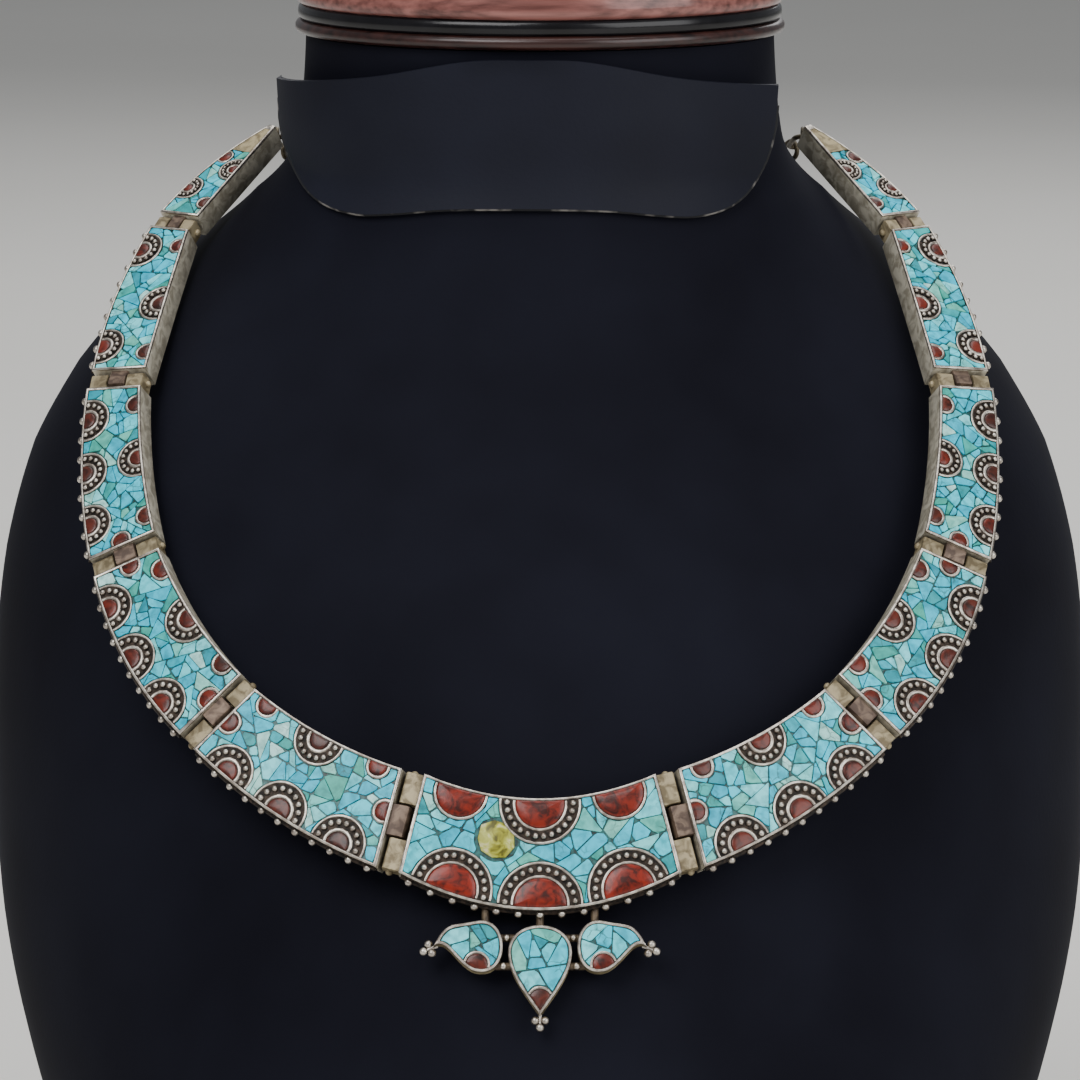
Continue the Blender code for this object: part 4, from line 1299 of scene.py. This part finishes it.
    def build_panel(self, panel: Panel, number: int, side: Optional[Side]) -> None:
        """Builds one panel: its tray, its rim and wall grains, and everything set in its face.

        Args:
            panel: its frame and outline.
            number: 0 for the centre, then counted outward.
            side: which half it is in, or None for the centre.
        """
        tag = f"{side.value}_{number}" if side else "centre"
        place = side.turn() @ panel.matrix() if side else panel.matrix()
        dice = random.Random(f"stones {tag}")

        tray = Shape()
        tray.skin(stepped(panel.outline, self.tray_profile))
        # The tray walls' paler brass is painted light.
        tray.make(f"tray_{tag}", PAINTED_LIGHT_WALL, Slot.SILVER, place, (f"case_{tag}",))

        rim = Shape()
        rim.skin(stepped(panel.outline, self.rim_profile), is_looped=True)
        domain = panel.outline(self.rim)
        bench = Jeweller(metal=rim)
        # The wall's strip and wires go in with the blackened floors; on the wall the dark is partly painted
        # shade.
        self.add_wall_work(rim, bench.black, panel, number)
        settings = []
        for kinds, share_along, share in self.ornaments[number]:
            kind = Kind.ROSETTE if kinds[0] == "r" else Kind.MOON
            edge = next(edge for edge in Edge if edge.value[0] == kinds[1])
            radius = share * (self.rosette_radius if kind is Kind.ROSETTE else self.moon_radius)
            seat = panel.seat(edge, share_along, self.wall + self.clearance)
            settings.append(Setting(kind, seat, radius, ring_limit=self.ring_limits[number > 0]))
        tones = self.side_tones if number else self.centre_tones
        for setting in settings:
            bench.set_ornament(setting, domain, dice.uniform(*tones))
        discs = [(setting.centre, setting.radius + 0.00005) for setting in settings]
        if number == 0:
            discs.append((panel.across(*self.olive_place), self.olive_radius))
            self.build_olive(bench, discs[-1][0], dice, place)
        if number == len(self.rows):
            domain = self.build_tip_plate(panel, domain, place, tag)
        bench.set_chips(domain, discs, self.chip_sizes[number], dice)

        bed = Shape()
        side_gap = self.wall + self.bed_gap
        bed.skin(stepped(panel.outline, ((side_gap, self.floor + self.clearance - self.case_depth),
                                         (side_gap, -0.0009), (self.rim, -0.0007), (self.rim, bench.bed))))
        bed.make(f"resin_{tag}", StoneResin(), Slot.TURQUOISE, place, (f"inlay_{tag}",))
        corals = [f"coral_{i}" for i in range(1, 7)] if number == 0 else []
        rim.make(f"wirework_{tag}", DrawnSilver(), Slot.SILVER, place)
        # Blackened floors, and the outer wall's strip and wires whose dark is partly painted shade.
        bench.black.make(f"blackened_{tag}", BlackenedFloorAndWallShade(), Slot.SILVER, place)
        bench.coral.make(f"corals_{tag}", PolishedCoral(), Slot.CORAL, place, corals, smooth=50.0)
        bench.chips.make(f"chips_{tag}", PolishedTurquoise(), Slot.TURQUOISE, place, smooth=18.0)

    def build_olive(self, bench: Jeweller, centre: Vector, dice: random.Random, place: Matrix) -> None:
        """The large rounded olive stone among the centre panel's chips.

        Args:
            bench: what builds the panel's stones.
            centre: where it lies.
            dice: the face's own random draws.
            place: the panel's frame.
        """
        corners = 9
        loop = [polar(centre, self.olive_radius * dice.uniform(0.74, 0.98), 2 * math.pi * i / corners)
                for i in range(corners)]
        stone = Shape()
        bench.chip(stone, loop, dice, 0.5)
        stone.make("olive_chip", OliveStone(), Slot.TURQUOISE, place)

    def build_tip_plate(self, panel: Panel, domain: Sequence[Vector], place: Matrix,
                        tag: str) -> list[Vector]:
        """The plain metal that fills the point of a tip panel.

        Args:
            panel: the tip panel.
            domain: closed loop that bounds its face.
            place: its frame.
            tag: its side and number.

        Returns:
            The part of the face that is left for stones.
        """
        along = (panel.inner_end - panel.inner_start).normalized()
        limit = panel.length * self.plate_share
        loop = Jeweller().cut(domain, -along, Vector((0.0, 0.0)), -limit)
        plate = Shape()
        plate.skin(stepped(lambda _: loop, ((0.0, -0.0006), (0.0, self.tip_kerb))))
        plate.make(f"tip_plate_{tag}", RolledWhiteBrass(), Slot.SILVER, place)
        return Jeweller().cut(domain, along, Vector((0.0, 0.0)), limit)

    def add_wall_work(self, shape: Shape, dark: Shape, panel: Panel, number: int) -> None:
        """The grains on the outer wall, on a blackened strip between two twisted wires, their dark partly
        painted shade.

        Args:
            shape: the piece that the grains go into.
            dark: the piece that the strip and the wires go into, dark partly as painted shade of the wall.
            panel: the panel that carries them.
            number: 0 for the centre, then counted outward.
        """
        grains, depth = self.wall_grains[number], self.grain_depths[number]
        if not grains:
            return
        for i in range(grains):
            spot = panel.inset(Edge.OUTER, (i + 0.5) / grains, -self.grain_out)
            shape.ball(flat(spot, -depth), self.grain_radius, steps=14)
        steps = 6 * round(panel.length / 0.0009)
        # The strip and the wires are blackened silver, partly painted shade on the outer wall.
        for below, radius, twist in ((0.00062, 0.00024, math.pi / 0.00075), (depth, 0.00062, 0.0),
                                     (depth + 0.0011, 0.00024, math.pi / 0.00075)):
            shares = (0.01 + 0.98 * i / steps for i in range(steps + 1))
            path = [flat(panel.inset(Edge.OUTER, share, -0.00004), -below) for share in shares]
            dark.sweep(path, circle(radius, 8, 0.6), panel_up(), twist=twist)

    def build_hinge(self, before: Panel, after: Panel, number: int, side: Side) -> None:
        """The three knuckles between two panels, with the pin's heads.

        Args:
            before: the panel nearer the centre.
            after: the next panel.
            number: the hinge's number.
            side: which half it is in.
        """
        axis = self.hinge_axis(before)
        width = before.widths[1]
        reach = self.hinge_gap / 2 + self.wall / 2
        # The second piece holds the middle knuckles, painted darker as shade in the hinge's middle.
        own, worn = Shape(), Shape()
        for third in range(3):
            towards = -before.end_along if third != 1 else after.along
            face = before.face if third != 1 else after.face
            low, high = third * width / 3 + self.clearance / 2, (third + 1) * width / 3 - self.clearance / 2
            angles = [math.radians(-76 * i / 8) for i in range(9)]
            under = [(self.barrel_radius * math.cos(a), self.barrel_radius * math.sin(a)) for a in angles]
            shoulder = ((-reach, 0.0), (0.0009, 0.0), (0.00125, 0.0002), (self.barrel_radius, 0.0006))
            over = [(x, self.knuckle_rise - drop) for x, drop in shoulder]
            rings = []
            for distance, shrink in ((low, 0.9), (low + 0.00012, 1.0), (high - 0.00012, 1.0), (high, 0.9)):
                spot = axis + before.end_out * distance
                rings.append([spot - towards * (a * (shrink if a > 0 else 1.0)) + face * (b * shrink)
                              for a, b in over + under + [(-reach, under[-1][1])]])
            (worn if third == 1 else own).skin(rings)
        for distance in (self.clearance / 2, width - self.clearance / 2):
            own.ball(axis + before.end_out * distance, self.pin_head)
        own.make(f"knuckles_{side.value}_{number}", KHAKI_KNUCKLE, Slot.SILVER, side.turn())
        worn.make(f"middle_knuckle_{side.value}_{number}", SHADED_MIDDLE_KNUCKLE, Slot.SILVER, side.turn())


def panel_up() -> Vector:
    """The direction out of a panel's face, in the panel's own frame."""
    return Vector((0, 0, 1))


@dataclass
class Drops:
    """The pear and the two paisleys that hang from the centre panel's rim."""

    recess: float = 0.001
    depth: float = 0.0032
    wall: float = 0.0005
    pear_top: float = 0.0026
    pear_length: float = 0.0164
    pear_width: float = 0.0114
    paisley_length: float = 0.0124
    paisley_width: float = 0.0093
    paisley_start: float = 0.0067
    paisley_level: float = 0.0064
    paisley_bend: float = 0.0016
    moon_radius: float = 0.0025
    pear_moon: float = 0.82
    paisley_moon: float = 0.0033
    post_radius: float = 0.0007
    post_side: float = 0.0098
    ball_radius: float = 0.00078
    grain_radius: float = 0.0007
    sharpness: float = 1.3
    steps: int = 72
    chip_sizes: tuple[float, float] = (0.0035, 0.0032)
    # distance down from the panel's rim, and where each tie starts and ends sideways
    ties: tuple[tuple[float, float, float], ...] = ((0.0047, 0.0046, 0.0073), (0.0098, 0.0051, 0.0080))

    def frame(self, panel: Panel, lean: float) -> Matrix:
        """The frame at the middle of the panel's outer rim: down its face, sideways and outward."""
        down = Vector((0, -math.sin(lean), -math.cos(lean)))
        return frame_of(panel.point(panel.edge(Edge.OUTER, 0.5)), down, Vector((1, 0, 0)), panel.face)

    def pear(self, length: float, width: float) -> list[Vector]:
        """A pear outline of (down, sideways) points, round at 0 and pointed at its length."""
        angles = [2 * math.pi * i / self.steps for i in range(self.steps)]
        swell = [math.sin(a) * abs(math.sin(a / 2)) ** self.sharpness for a in angles]
        widest = max(swell)
        return [Vector((length / 2 * (1 + math.cos(a)), width / 2 * side / widest))
                for a, side in zip(angles, swell)]

    def paisley(self, sign: int) -> list[Vector]:
        """A curled drop that points sideways, with its tail bent over."""
        points = []
        for reach, swell in self.pear(self.paisley_length, self.paisley_width):
            half = self.paisley_width / 2
            share = max(0.0, (reach - half) / (self.paisley_length - half))
            bend = self.paisley_bend * math.sin(math.pi * share ** 2)
            points.append(Vector((self.paisley_level - bend + swell, sign * (self.paisley_start + reach))))
        return points

    def inset(self, loop: Sequence[Vector], distance: float) -> list[Vector]:
        """A closed outline moved inward, its crowded points gathered at the tip.

        Args:
            loop: the outline.
            distance: how far it moves.

        Returns:
            As many points as the outline has.
        """
        sense = 1 if sum(a.x * b.y - b.x * a.y for a, b in edges_of(loop)) > 0 else -1
        moved = []
        for i, here in enumerate(loop):
            before = (here - loop[i - 1]).normalized()
            after = (loop[(i + 1) % len(loop)] - here).normalized()
            inward = Vector((-before.y - after.y, before.x + after.x)).normalized() * sense
            share = max(0.2, abs(inward.dot(Vector((-before.y, before.x)))))
            moved.append(here + inward * (distance / share))
        errors = (abs((nearest_on(spot, loop) - spot).length - abs(distance)) for spot in moved)
        good = [error < 0.04 * abs(distance) or not distance for error in errors]
        for i, is_good in enumerate(good):
            if not is_good:
                spare = min((k for k in range(len(loop)) if good[k]),
                            key=lambda k: min((k - i) % len(loop), (i - k) % len(loop)))
                moved[i] = moved[spare].copy()
        return moved

    def build(self, collar: Collar) -> None:
        """Builds the three drops with what joins them to the centre panel.

        Args:
            collar: the panels that carry them.
        """
        panel = collar.centre()
        place = self.frame(panel, math.radians(collar.front_lean))
        pear = self.pear(self.pear_length, self.pear_width)
        outlines = {
            "middle": [Vector((self.pear_top + spot.x, spot.y)) for spot in pear],
            "right": self.paisley(1),
            "left": self.paisley(-1),
        }
        sheet, joins, wires = Shape(), Shape(), Shape()
        for name, loop in outlines.items():
            self.build_drop(name, loop, sheet, wires, place)
        self.add_joins(joins, wires, panel)
        sheet.make("drop_settings", RolledWhiteBrass(), Slot.SILVER, place)
        # The posts and ties are painted dark as shade between the panel and the drops.
        joins.make("drop_joins", SHADED_BRASS_ROD, Slot.SILVER, place)
        wires.make("drop_wirework", DrawnSilver(), Slot.SILVER, place)

    def build_drop(self, name: str, loop: Sequence[Vector], sheet: Shape, wires: Shape,
                   place: Matrix) -> None:
        """Builds one drop.

        Args:
            name: which of the three it is.
            loop: its outline.
            sheet: the piece that gathers the plain metal.
            wires: the piece that gathers the bright metal.
            place: the drops' frame.
        """
        top = -self.recess
        cup = ((0.0004, -self.depth), (0.0, -self.depth + 0.0003), (0.0, -0.0002), (0.00015, -0.00006),
               (self.wall, -0.0002), (self.wall, -self.depth + self.wall))
        bezel = ((0.0005, -0.0005), (0.0005, 0.00006), (0.00038, 0.00016), (0.00018, 0.00016),
                 (0.00002, 0.00004), (-0.00003, -0.0003), (0.0003, -0.0005))

        def inside(distance: float) -> list[Vector]:
            """The drop's outline moved inward."""
            return self.inset(loop, distance)

        sheet.skin(stepped(inside, cup, top))
        wires.skin(stepped(inside, bezel, top), is_looped=True)
        if name == "middle":
            foot = Vector((self.pear_top + self.pear_length * self.pear_moon, 0.0))
        else:
            sign = 1 if name == "right" else -1
            foot = Vector((self.paisley_level + self.paisley_moon,
                           sign * (self.paisley_start + self.paisley_width / 2)))
        domain = self.inset(loop, self.wall)
        shift = place @ Matrix.Translation((0, 0, top))
        dice = random.Random(f"drop {name}")
        bench = Jeweller()
        setting = Setting(Kind.MOON, foot, self.moon_radius)
        bench.set_ornament(setting, domain, dice.uniform(0.5, 0.9))
        size = self.chip_sizes[0 if name == "middle" else 1]
        bench.set_chips(domain, [(foot, self.moon_radius + 0.00005)], size, dice)
        bed = Shape()
        gap = self.wall + 0.00003
        bed.skin(stepped(inside, ((gap, -self.depth + self.wall + 0.0003), (gap, bench.bed))))
        bed.make(f"resin_drop_{name}", StoneResin(), Slot.TURQUOISE, shift, (f"drop_stone_{name}",))
        bench.metal.make(f"wirework_drop_{name}", DrawnSilver(), Slot.SILVER, shift)
        bench.coral.make(f"coral_drop_{name}", PolishedCoral(), Slot.CORAL, shift, smooth=50.0)
        bench.chips.make(f"chips_drop_{name}", PolishedTurquoise(), Slot.TURQUOISE, shift, smooth=18.0)

    def add_joins(self, sheet: Shape, wires: Shape, panel: Panel) -> None:
        """Posts and ties that hold the drops, the grains on them and the three balls at each point.

        Args:
            sheet: the piece that gathers the posts and ties, painted dark as shade.
            wires: the piece that gathers the bright metal.
            panel: the centre panel.
        """
        level = -self.recess - self.depth / 2
        up = panel_up()
        for down, start, end in self.ties:
            for sign in (-1, 1):
                sheet.sweep([Vector((down, sign * start, level)), Vector((down, sign * end, level))],
                            circle(self.post_radius, 12), up)
                middle = Vector((down, sign * (start + end) / 2, level + self.post_radius / 2))
                wires.ball(middle, self.grain_radius, 16)
        half_chord = (panel.outer_end - panel.outer_start).length / 2
        beside = self.paisley_level - self.paisley_width / 2
        for sideways, reach in ((0.0, self.pear_top), (-self.post_side, beside), (self.post_side, beside)):
            rise = panel.bows[1] * panel.length * (sideways / half_chord) ** 2
            ends = [Vector((down, sideways, level)) for down in (-rise - 0.0002, reach + self.wall / 2)]
            sheet.sweep(ends, circle(self.post_radius, 12), up)
        tail = self.paisley_start + self.paisley_length
        self.add_trefoil(wires, Vector((self.pear_top + self.pear_length, 0)), Vector((1, 0)), level)
        for sign in (-1, 1):
            direction = Vector((0.4, sign)).normalized()
            self.add_trefoil(wires, Vector((self.paisley_level, sign * tail)), direction, level)

    def add_trefoil(self, wires: Shape, tip: Vector, direction: Vector, level: float) -> None:
        """Three balls on a stalk at the point of a drop.

        Args:
            wires: the piece that they go into.
            tip: the drop's point.
            direction: the way it points.
            level: the balls' height.
        """
        radius = self.ball_radius
        side = Vector((-direction.y, direction.x))
        spots = (tip + direction * 0.8 * radius + side * 1.1 * radius,
                 tip + direction * 0.8 * radius - side * 1.1 * radius, tip + direction * 2.4 * radius)
        stalk = [flat(tip - direction * radius, level), flat(spots[2], level)]
        wires.sweep(stalk, circle(radius / 2, 12), panel_up())
        for spot in spots:
            wires.ball(flat(spot, level), radius, 20)


@dataclass
class Closure:
    """The rings on the two points, the rear chain and its hook."""

    ring_radius: float = 0.0016
    ring_wire: float = 0.00045
    link_wire: float = 0.0005
    link_width: float = 0.0044
    link_pitch: float = 0.0072
    fuse: float = 0.0004
    leaves: tuple[float, float, float] = (0.0, 0.96, -0.28)
    leaving: float = 0.018
    passing: float = 0.032
    nape: tuple[float, float, float] = (0.0, 0.0776, 0.212)
    hook_length: float = 0.0125
    hook_radius: float = 0.0021
    hook_wire: float = 0.00055
    clearance: float = 0.0003

    def ring_centre(self, collar: Collar, tip: Panel) -> tuple[Vector, Vector]:
        """The centre of the ring behind a tip, and the way that the chain leaves it."""
        direction = Vector(self.leaves).normalized()
        end = tip.point((tip.inner_end + tip.outer_end) / 2, -collar.case_depth / 2)
        return end + direction * self.ring_radius * 0.9, direction

    def path(self, start: Vector, direction: Vector, steps: int = 400) -> tuple[list[Vector], list[float]]:
        """The chain's way to the middle of the nape, with the length up to each point."""
        end = Vector(self.nape)
        holds = (start, start + direction * self.leaving, end + Vector((self.passing, 0, 0)), end)
        points = []
        for i in range(steps + 1):
            t = i / steps
            shares = ((1 - t) ** 3, 3 * t * (1 - t) ** 2, 3 * t ** 2 * (1 - t), t ** 3)
            points.append(sum((hold * share for hold, share in zip(holds, shares)), Vector((0, 0, 0))))
        return points, run_of(points)

    def frame(self, centre: Vector, direction: Vector, is_upright: bool) -> Matrix:
        """Frame of a link: x along the chain, its plane upright or lying."""
        side = direction.cross(Vector((0, 0, 1))).normalized()
        second = side.cross(direction).normalized() if is_upright else side
        return frame_of(centre, direction, second, direction.cross(second))

    def oval(self, radius: float, stretch: float, steps: int = 28) -> list[Vector]:
        """A round loop drawn out along x by stretch each way."""
        loop = []
        for i in range(steps):
            angle = 2 * math.pi * (i + 0.5) / steps
            x = radius * math.cos(angle)
            loop.append(Vector((x + (stretch if x > 0 else -stretch), radius * math.sin(angle), 0.0)))
        return loop

    def build(self, collar: Collar) -> None:
        """Builds both rings, both sides of the chain and the hook.

        Args:
            collar: the panels that the chain closes.
        """
        tip = collar.panels()[-1]
        start, direction = self.ring_centre(collar, tip)
        points, lengths = self.path(start, direction)
        first = self.ring_radius - self.ring_wire - self.link_wire - self.clearance
        last = lengths[-1] - self.hook_length / 2 + self.hook_wire + self.link_wire + self.clearance
        count = max(1, round((last - first) / self.link_pitch))
        pitch = (last - first) / count
        up = Vector((0, 0, 1))
        for side in Side:
            turn = side.turn()
            ring = Shape()
            ring.sweep(self.oval(self.ring_radius, 0.0), circle(self.ring_wire, 10), up, is_closed=True)
            ring.make(f"tip_ring_{side.value}", TARNISHED_LINK, Slot.SILVER,
                      turn @ self.frame(start, direction, is_upright=True))
            chain = Shape()
            for i in range(count):
                distance = first + pitch * (i + 0.5)
                at = next(k for k in range(1, len(points)) if lengths[k] >= distance)
                along = (points[at] - points[at - 1]).normalized()
                place = self.frame(points[at], along, is_upright=i % 2 == 1)
                half = pitch / 2 + self.link_wire - self.fuse / 2
                radius = self.link_width / 2 - self.link_wire
                link = Shape()
                link.sweep(self.oval(radius, half - radius), circle(self.link_wire, 10), up, is_closed=True)
                base = len(chain.points)
                chain.points.extend(place @ point for point in link.points)
                chain.tones.extend(link.tones)
                chain.faces.extend(tuple(base + k for k in face) for face in link.faces)
            chain.make(f"links_{side.value}", TARNISHED_LINK, Slot.BRASS, turn, (f"chain_{side.value}",))
        self.build_hook(points[-1], is_upright=(count - 1) % 2 == 0)

    def build_hook(self, middle: Vector, is_upright: bool) -> None:
        """The S-shaped hook at the nape.

        Args:
            middle: its middle.
            is_upright: whether its plane stands upright.
        """
        turns = 20
        reach = self.hook_length / 2 - self.hook_radius
        half = [Vector((reach + self.hook_radius * math.cos(a), self.hook_radius * math.sin(a), 0.0))
                for a in (math.radians(250 * i / turns - 160) for i in range(turns + 1))]
        half.reverse()
        path = half + [Vector((-spot.x, -spot.y, 0.0)) for spot in reversed(half)]
        hook = Shape()
        hook.sweep(path, circle(self.hook_wire, 12), Vector((0, 0, 1)))
        for end in (path[0], path[-1]):
            hook.ball(end, self.hook_wire * 1.25, 12)
        hook.make("hook", RolledWhiteBrass(), Slot.BRASS, self.frame(middle, Vector((-1, 0, 0)), is_upright),
                  ("hook_clasp",))


@dataclass
class NeckBust:
    """The plain bust: its covered body, the flap over the neck and the turned cap."""

    clearance: float = 0.0003
    flap_thickness: float = 0.0012
    sides: int = 128
    risers: int = 6
    # height, half width, front, widest line and back, all in metres
    sections: tuple[tuple[float, ...], ...] = (
        (0.0000, 0.0780, -0.0820, 0.010, 0.0780), (0.0150, 0.0840, -0.0880, 0.014, 0.0840),
        (0.0400, 0.0930, -0.0900, 0.024, 0.0880), (0.0620, 0.1010, -0.0840, 0.038, 0.0900),
        (0.0820, 0.1060, -0.0759, 0.050, 0.0900), (0.1040, 0.1080, -0.0664, 0.058, 0.0900),
        (0.1266, 0.1080, -0.0567, 0.061, 0.0900), (0.1500, 0.1055, -0.0450, 0.061, 0.0890),
        (0.1700, 0.1000, -0.0330, 0.061, 0.0870), (0.1860, 0.0910, -0.0230, 0.061, 0.0840),
        (0.1990, 0.0800, -0.0150, 0.060, 0.0800), (0.2110, 0.0670, -0.0090, 0.056, 0.0750),
        (0.2220, 0.0550, -0.0055, 0.046, 0.0700), (0.2300, 0.0480, -0.0040, 0.038, 0.0660),
        (0.2380, 0.0460, -0.0040, 0.0345, 0.0650), (0.2530, 0.0450, -0.0040, 0.034, 0.0650),
    )
    # lower and upper edge of the flap's right half: distance from its middle, and height
    flap_low: tuple[tuple[float, float], ...] = (
        (0.0000, 0.2240), (0.0150, 0.2236), (0.0250, 0.2224), (0.0325, 0.2219), (0.0400, 0.2240),
        (0.0447, 0.2295), (0.0470, 0.2370), (0.0476, 0.2447),
    )
    flap_high: tuple[tuple[float, float], ...] = (
        (0.0000, 0.2516), (0.0110, 0.2512), (0.0293, 0.2475), (0.0476, 0.2448),
    )
    flap_half_width: float = 0.0492
    flap_shift: float = -0.0026
    fold_reach: float = 0.0105
    fold_lift: float = 0.0009

    def section(self, height: float) -> list[float]:
        """The bust's section at a height, on a smooth curve through the table.

        Args:
            height: height over the base.

        Returns:
            Half width, front, widest line and back.
        """
        rows = self.sections
        at = max(i for i in range(len(rows) - 1) if rows[i][0] <= height + 1e-9)
        t = (height - rows[at][0]) / (rows[at + 1][0] - rows[at][0])
        around = [rows[max(0, at - 1)], rows[at], rows[at + 1], rows[min(len(rows) - 1, at + 2)]]
        return [0.5 * (2 * b + (c - a) * t + (2 * a - 5 * b + 4 * c - d) * t ** 2
                       + (3 * b - a - 3 * c + d) * t ** 3)
                for a, b, c, d in zip(*(row[1:] for row in around))]

    def on_skin(self, angle: float, height: float, grow: float) -> Vector:
        """A point of the bust's skin, at an angle from the front, moved out by grow."""
        half_width, front, side, back = self.section(height)
        end = front - grow if math.cos(angle) > 0 else back + grow
        across, forward = (half_width + grow) * math.sin(angle), (end - side) * abs(math.cos(angle))
        return Vector((across, side + forward, height))

    def ring(self, height: float, grow: float, lift: float = 0.0) -> list[Vector]:
        """The bust's section as a closed loop."""
        spots = [self.on_skin(2 * math.pi * i / self.sides, height, grow) for i in range(self.sides)]
        return [spot + Vector((0, 0, lift)) for spot in spots]

    def build(self) -> None:
        """Builds the three parts of the bust."""
        heights = []
        for low, high in zip(self.sections, self.sections[1:]):
            heights += [low[0] + (high[0] - low[0]) * i / self.risers for i in range(self.risers)]
        heights.append(self.sections[-1][0])
        body = Shape()
        foot = [self.ring(0.0, -0.003), self.ring(0.0, -0.0012, 0.0006)]
        body.skin(foot + [self.ring(height, -0.0003) for height in heights[1:]])
        body.make("covered_bust", BlackLeatherette(), Slot.LEATHERETTE, stands_for=("bust_body",))
        self.build_flap()
        self.build_cap()

    def on_flap(self, x: float, z: float, grow: float) -> Vector:
        """A point of the flap at a place across it and a height, moved out by grow."""
        half_width, front, side, _ = self.section(min(z, 0.2529))
        width = max(half_width, self.flap_half_width) + grow
        share = max(-1.0, min(1.0, x / width))
        return Vector((width * share, side + (front - grow - side) * math.sqrt(1 - share * share), z))

    def build_flap(self, columns: int = 60, rows: int = 16) -> None:
        """The stiff flap that lies over the front of the neck, with a turned lip and a frayed lower edge.

        Args:
            columns: pieces across it.
            rows: pieces down it.
        """
        half = self.flap_low[-1][0]
        rings, edge = [], []
        for i in range(columns + 1):
            x = half * math.sin(math.pi / 2 * (2 * i / columns - 1))
            low, high = level(self.flap_low, abs(x)), level(self.flap_high, abs(x))
            here = x + self.flap_shift
            fold = max(0.0, 1 - (abs(here + 0.0047) / self.fold_reach) ** 4) * self.fold_lift
            heights = [low + (high - low) * k / rows for k in range(rows + 1)]
            lifts = [fold * max(0.0, 1 - (high - z) / 0.002) for z in heights]
            inner, outer = ([self.on_flap(here, z, grow + lift) for z, lift in zip(heights, lifts)]
                            for grow in (self.clearance, self.clearance + self.flap_thickness))
            rings.append(inner + list(reversed(outer)))
            edge.append((inner[0] + outer[0]) / 2)
        flap = Shape()
        flap.skin(rings)
        flap.make("neck_flap", BlackCard(), Slot.LEATHERETTE, stands_for=("bust_flap",))
        fray = Shape()
        fray.sweep(edge[2:-2], circle(0.00045, 8), Vector((0, -1, 0)))
        fray.make("flap_edge", FrayedCard(), Slot.LEATHERETTE)

    def build_cap(self) -> None:
        """The turned cap: a brown ring, a black lacquered ring and a low wooden dome."""
        top = self.sections[-1][0]
        parts = (
            ("cap_lower_ring", DarkBeech(), (
                (0.3, -3.0), (0.3, 0.6), (0.6, 1.3), (1.2, 1.7),
                (2.0, 1.7), (2.5, 1.4), (2.9, 0.8), (2.9, -3.0))),
            ("cap_black_ring", BlackLacquer(), ((2.8, -3.0), (2.8, 0.3), (3.1, 0.8), (3.6, 1.1), (4.4, 1.2),
                                                (5.2, 1.1), (5.7, 0.8), (6.0, 0.3), (6.0, -3.0))),
            ("cap_dome", StainedBeech(), (
                (5.8, -3.0), (5.9, 0.6), (6.3, 1.2), (7.0, 1.5), (8.0, 1.5), (10.0, 1.2), (12.0, 0.7),
                (14.5, -0.8), (17.0, -3.0), (19.0, -6.2), (21.0, -11.0), (22.5, -17.0), (23.4, -24.0),
                (23.5, -32.0))),
        )
        for name, finish, profile in parts:
            shape = Shape()
            shape.skin([self.ring(top, reach * MM, rise * MM) for rise, reach in profile])
            shape.make(name, finish, Slot.WOOD, stands_for=("bust_cap",))


@dataclass
class Studio:
    """The floor, the lights and the camera. Lengths are in metres."""

    target: tuple[float, float, float] = (0.0, -0.054, 0.170)
    elevation: float = 10.0
    distance: float = 1.170
    lens: float = 216.7
    floor_size: float = 30.0

    def build(self) -> None:
        """Sets the scene up."""
        self.add_floor()
        self.add_light("key", (-0.7, -1.3, 1.5), 1.1, 26.0)
        self.add_light("fill", (1.1, -1.0, 0.8), 1.2, 16.0)
        self.add_light("top", (0.0, 0.2, 1.7), 1.2, 14.0)
        self.add_light("back", (0.3, 1.6, 1.2), 1.2, 12.0)
        world = bpy.data.worlds.new("studio_air")
        world.use_nodes = True
        background = world.node_tree.nodes["Background"]
        background.inputs["Color"].default_value = linear("#dfe2e6")
        background.inputs["Strength"].default_value = 0.35
        bpy.context.scene.world = world
        self.add_camera()

    def add_floor(self) -> None:
        """A wide plain floor under the bust."""
        mesh = bpy.data.meshes.new("studio_floor")
        half = self.floor_size / 2
        corners = [(-half, -half, 0), (half, -half, 0), (half, half, 0), (-half, half, 0)]
        mesh.from_pydata(corners, [], [range(len(corners))])
        mesh.materials.append(dressed(PaintedFloor()))
        floor = bpy.data.objects.new("studio_floor", mesh)
        bpy.context.scene.collection.objects.link(floor)

    def add_light(self, name: str, place: Sequence[float], size: float, power: float) -> None:
        """A soft square light aimed at the necklace.

        Args:
            name: its name.
            place: where it hangs.
            size: its side.
            power: its strength in watts.
        """
        light = bpy.data.lights.new(name, "AREA")
        light.shape = "SQUARE"
        light.size = size
        light.energy = power
        lamp = bpy.data.objects.new(name, light)
        lamp.location = place
        aim = Vector(self.target) - Vector(place)
        lamp.rotation_euler = aim.to_track_quat("-Z", "Y").to_euler()
        bpy.context.scene.collection.objects.link(lamp)

    def add_camera(self) -> None:
        """The camera at the photograph's viewing angle."""
        camera = bpy.data.cameras.new("photo_view")
        camera.lens = self.lens
        camera.sensor_width = 36.0
        camera.clip_end = 100.0
        view = bpy.data.objects.new("photo_view", camera)
        rise = math.radians(self.elevation)
        away = Vector((0, -math.cos(rise), math.sin(rise)))
        view.location = Vector(self.target) + away * self.distance
        view.rotation_euler = (-away).to_track_quat("-Z", "Y").to_euler()
        bpy.context.scene.collection.objects.link(view)
        bpy.context.scene.camera = view


def dress_pins() -> None:
    """Gives the CAD hinge pins their metal."""
    for name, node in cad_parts.items():
        if name.startswith("hinge_pin"):
            node.data.materials.clear()
            node.data.materials.append(dressed(RolledWhiteBrass()))


def main() -> None:
    """Builds the studio, the bust and the necklace."""
    logging.basicConfig(level=logging.INFO)
    Studio().build()
    NeckBust().build()
    collar = Collar()
    collar.build()
    Drops().build(collar)
    Closure().build(collar)
    dress_pins()


if __name__ == "__main__":
    main()
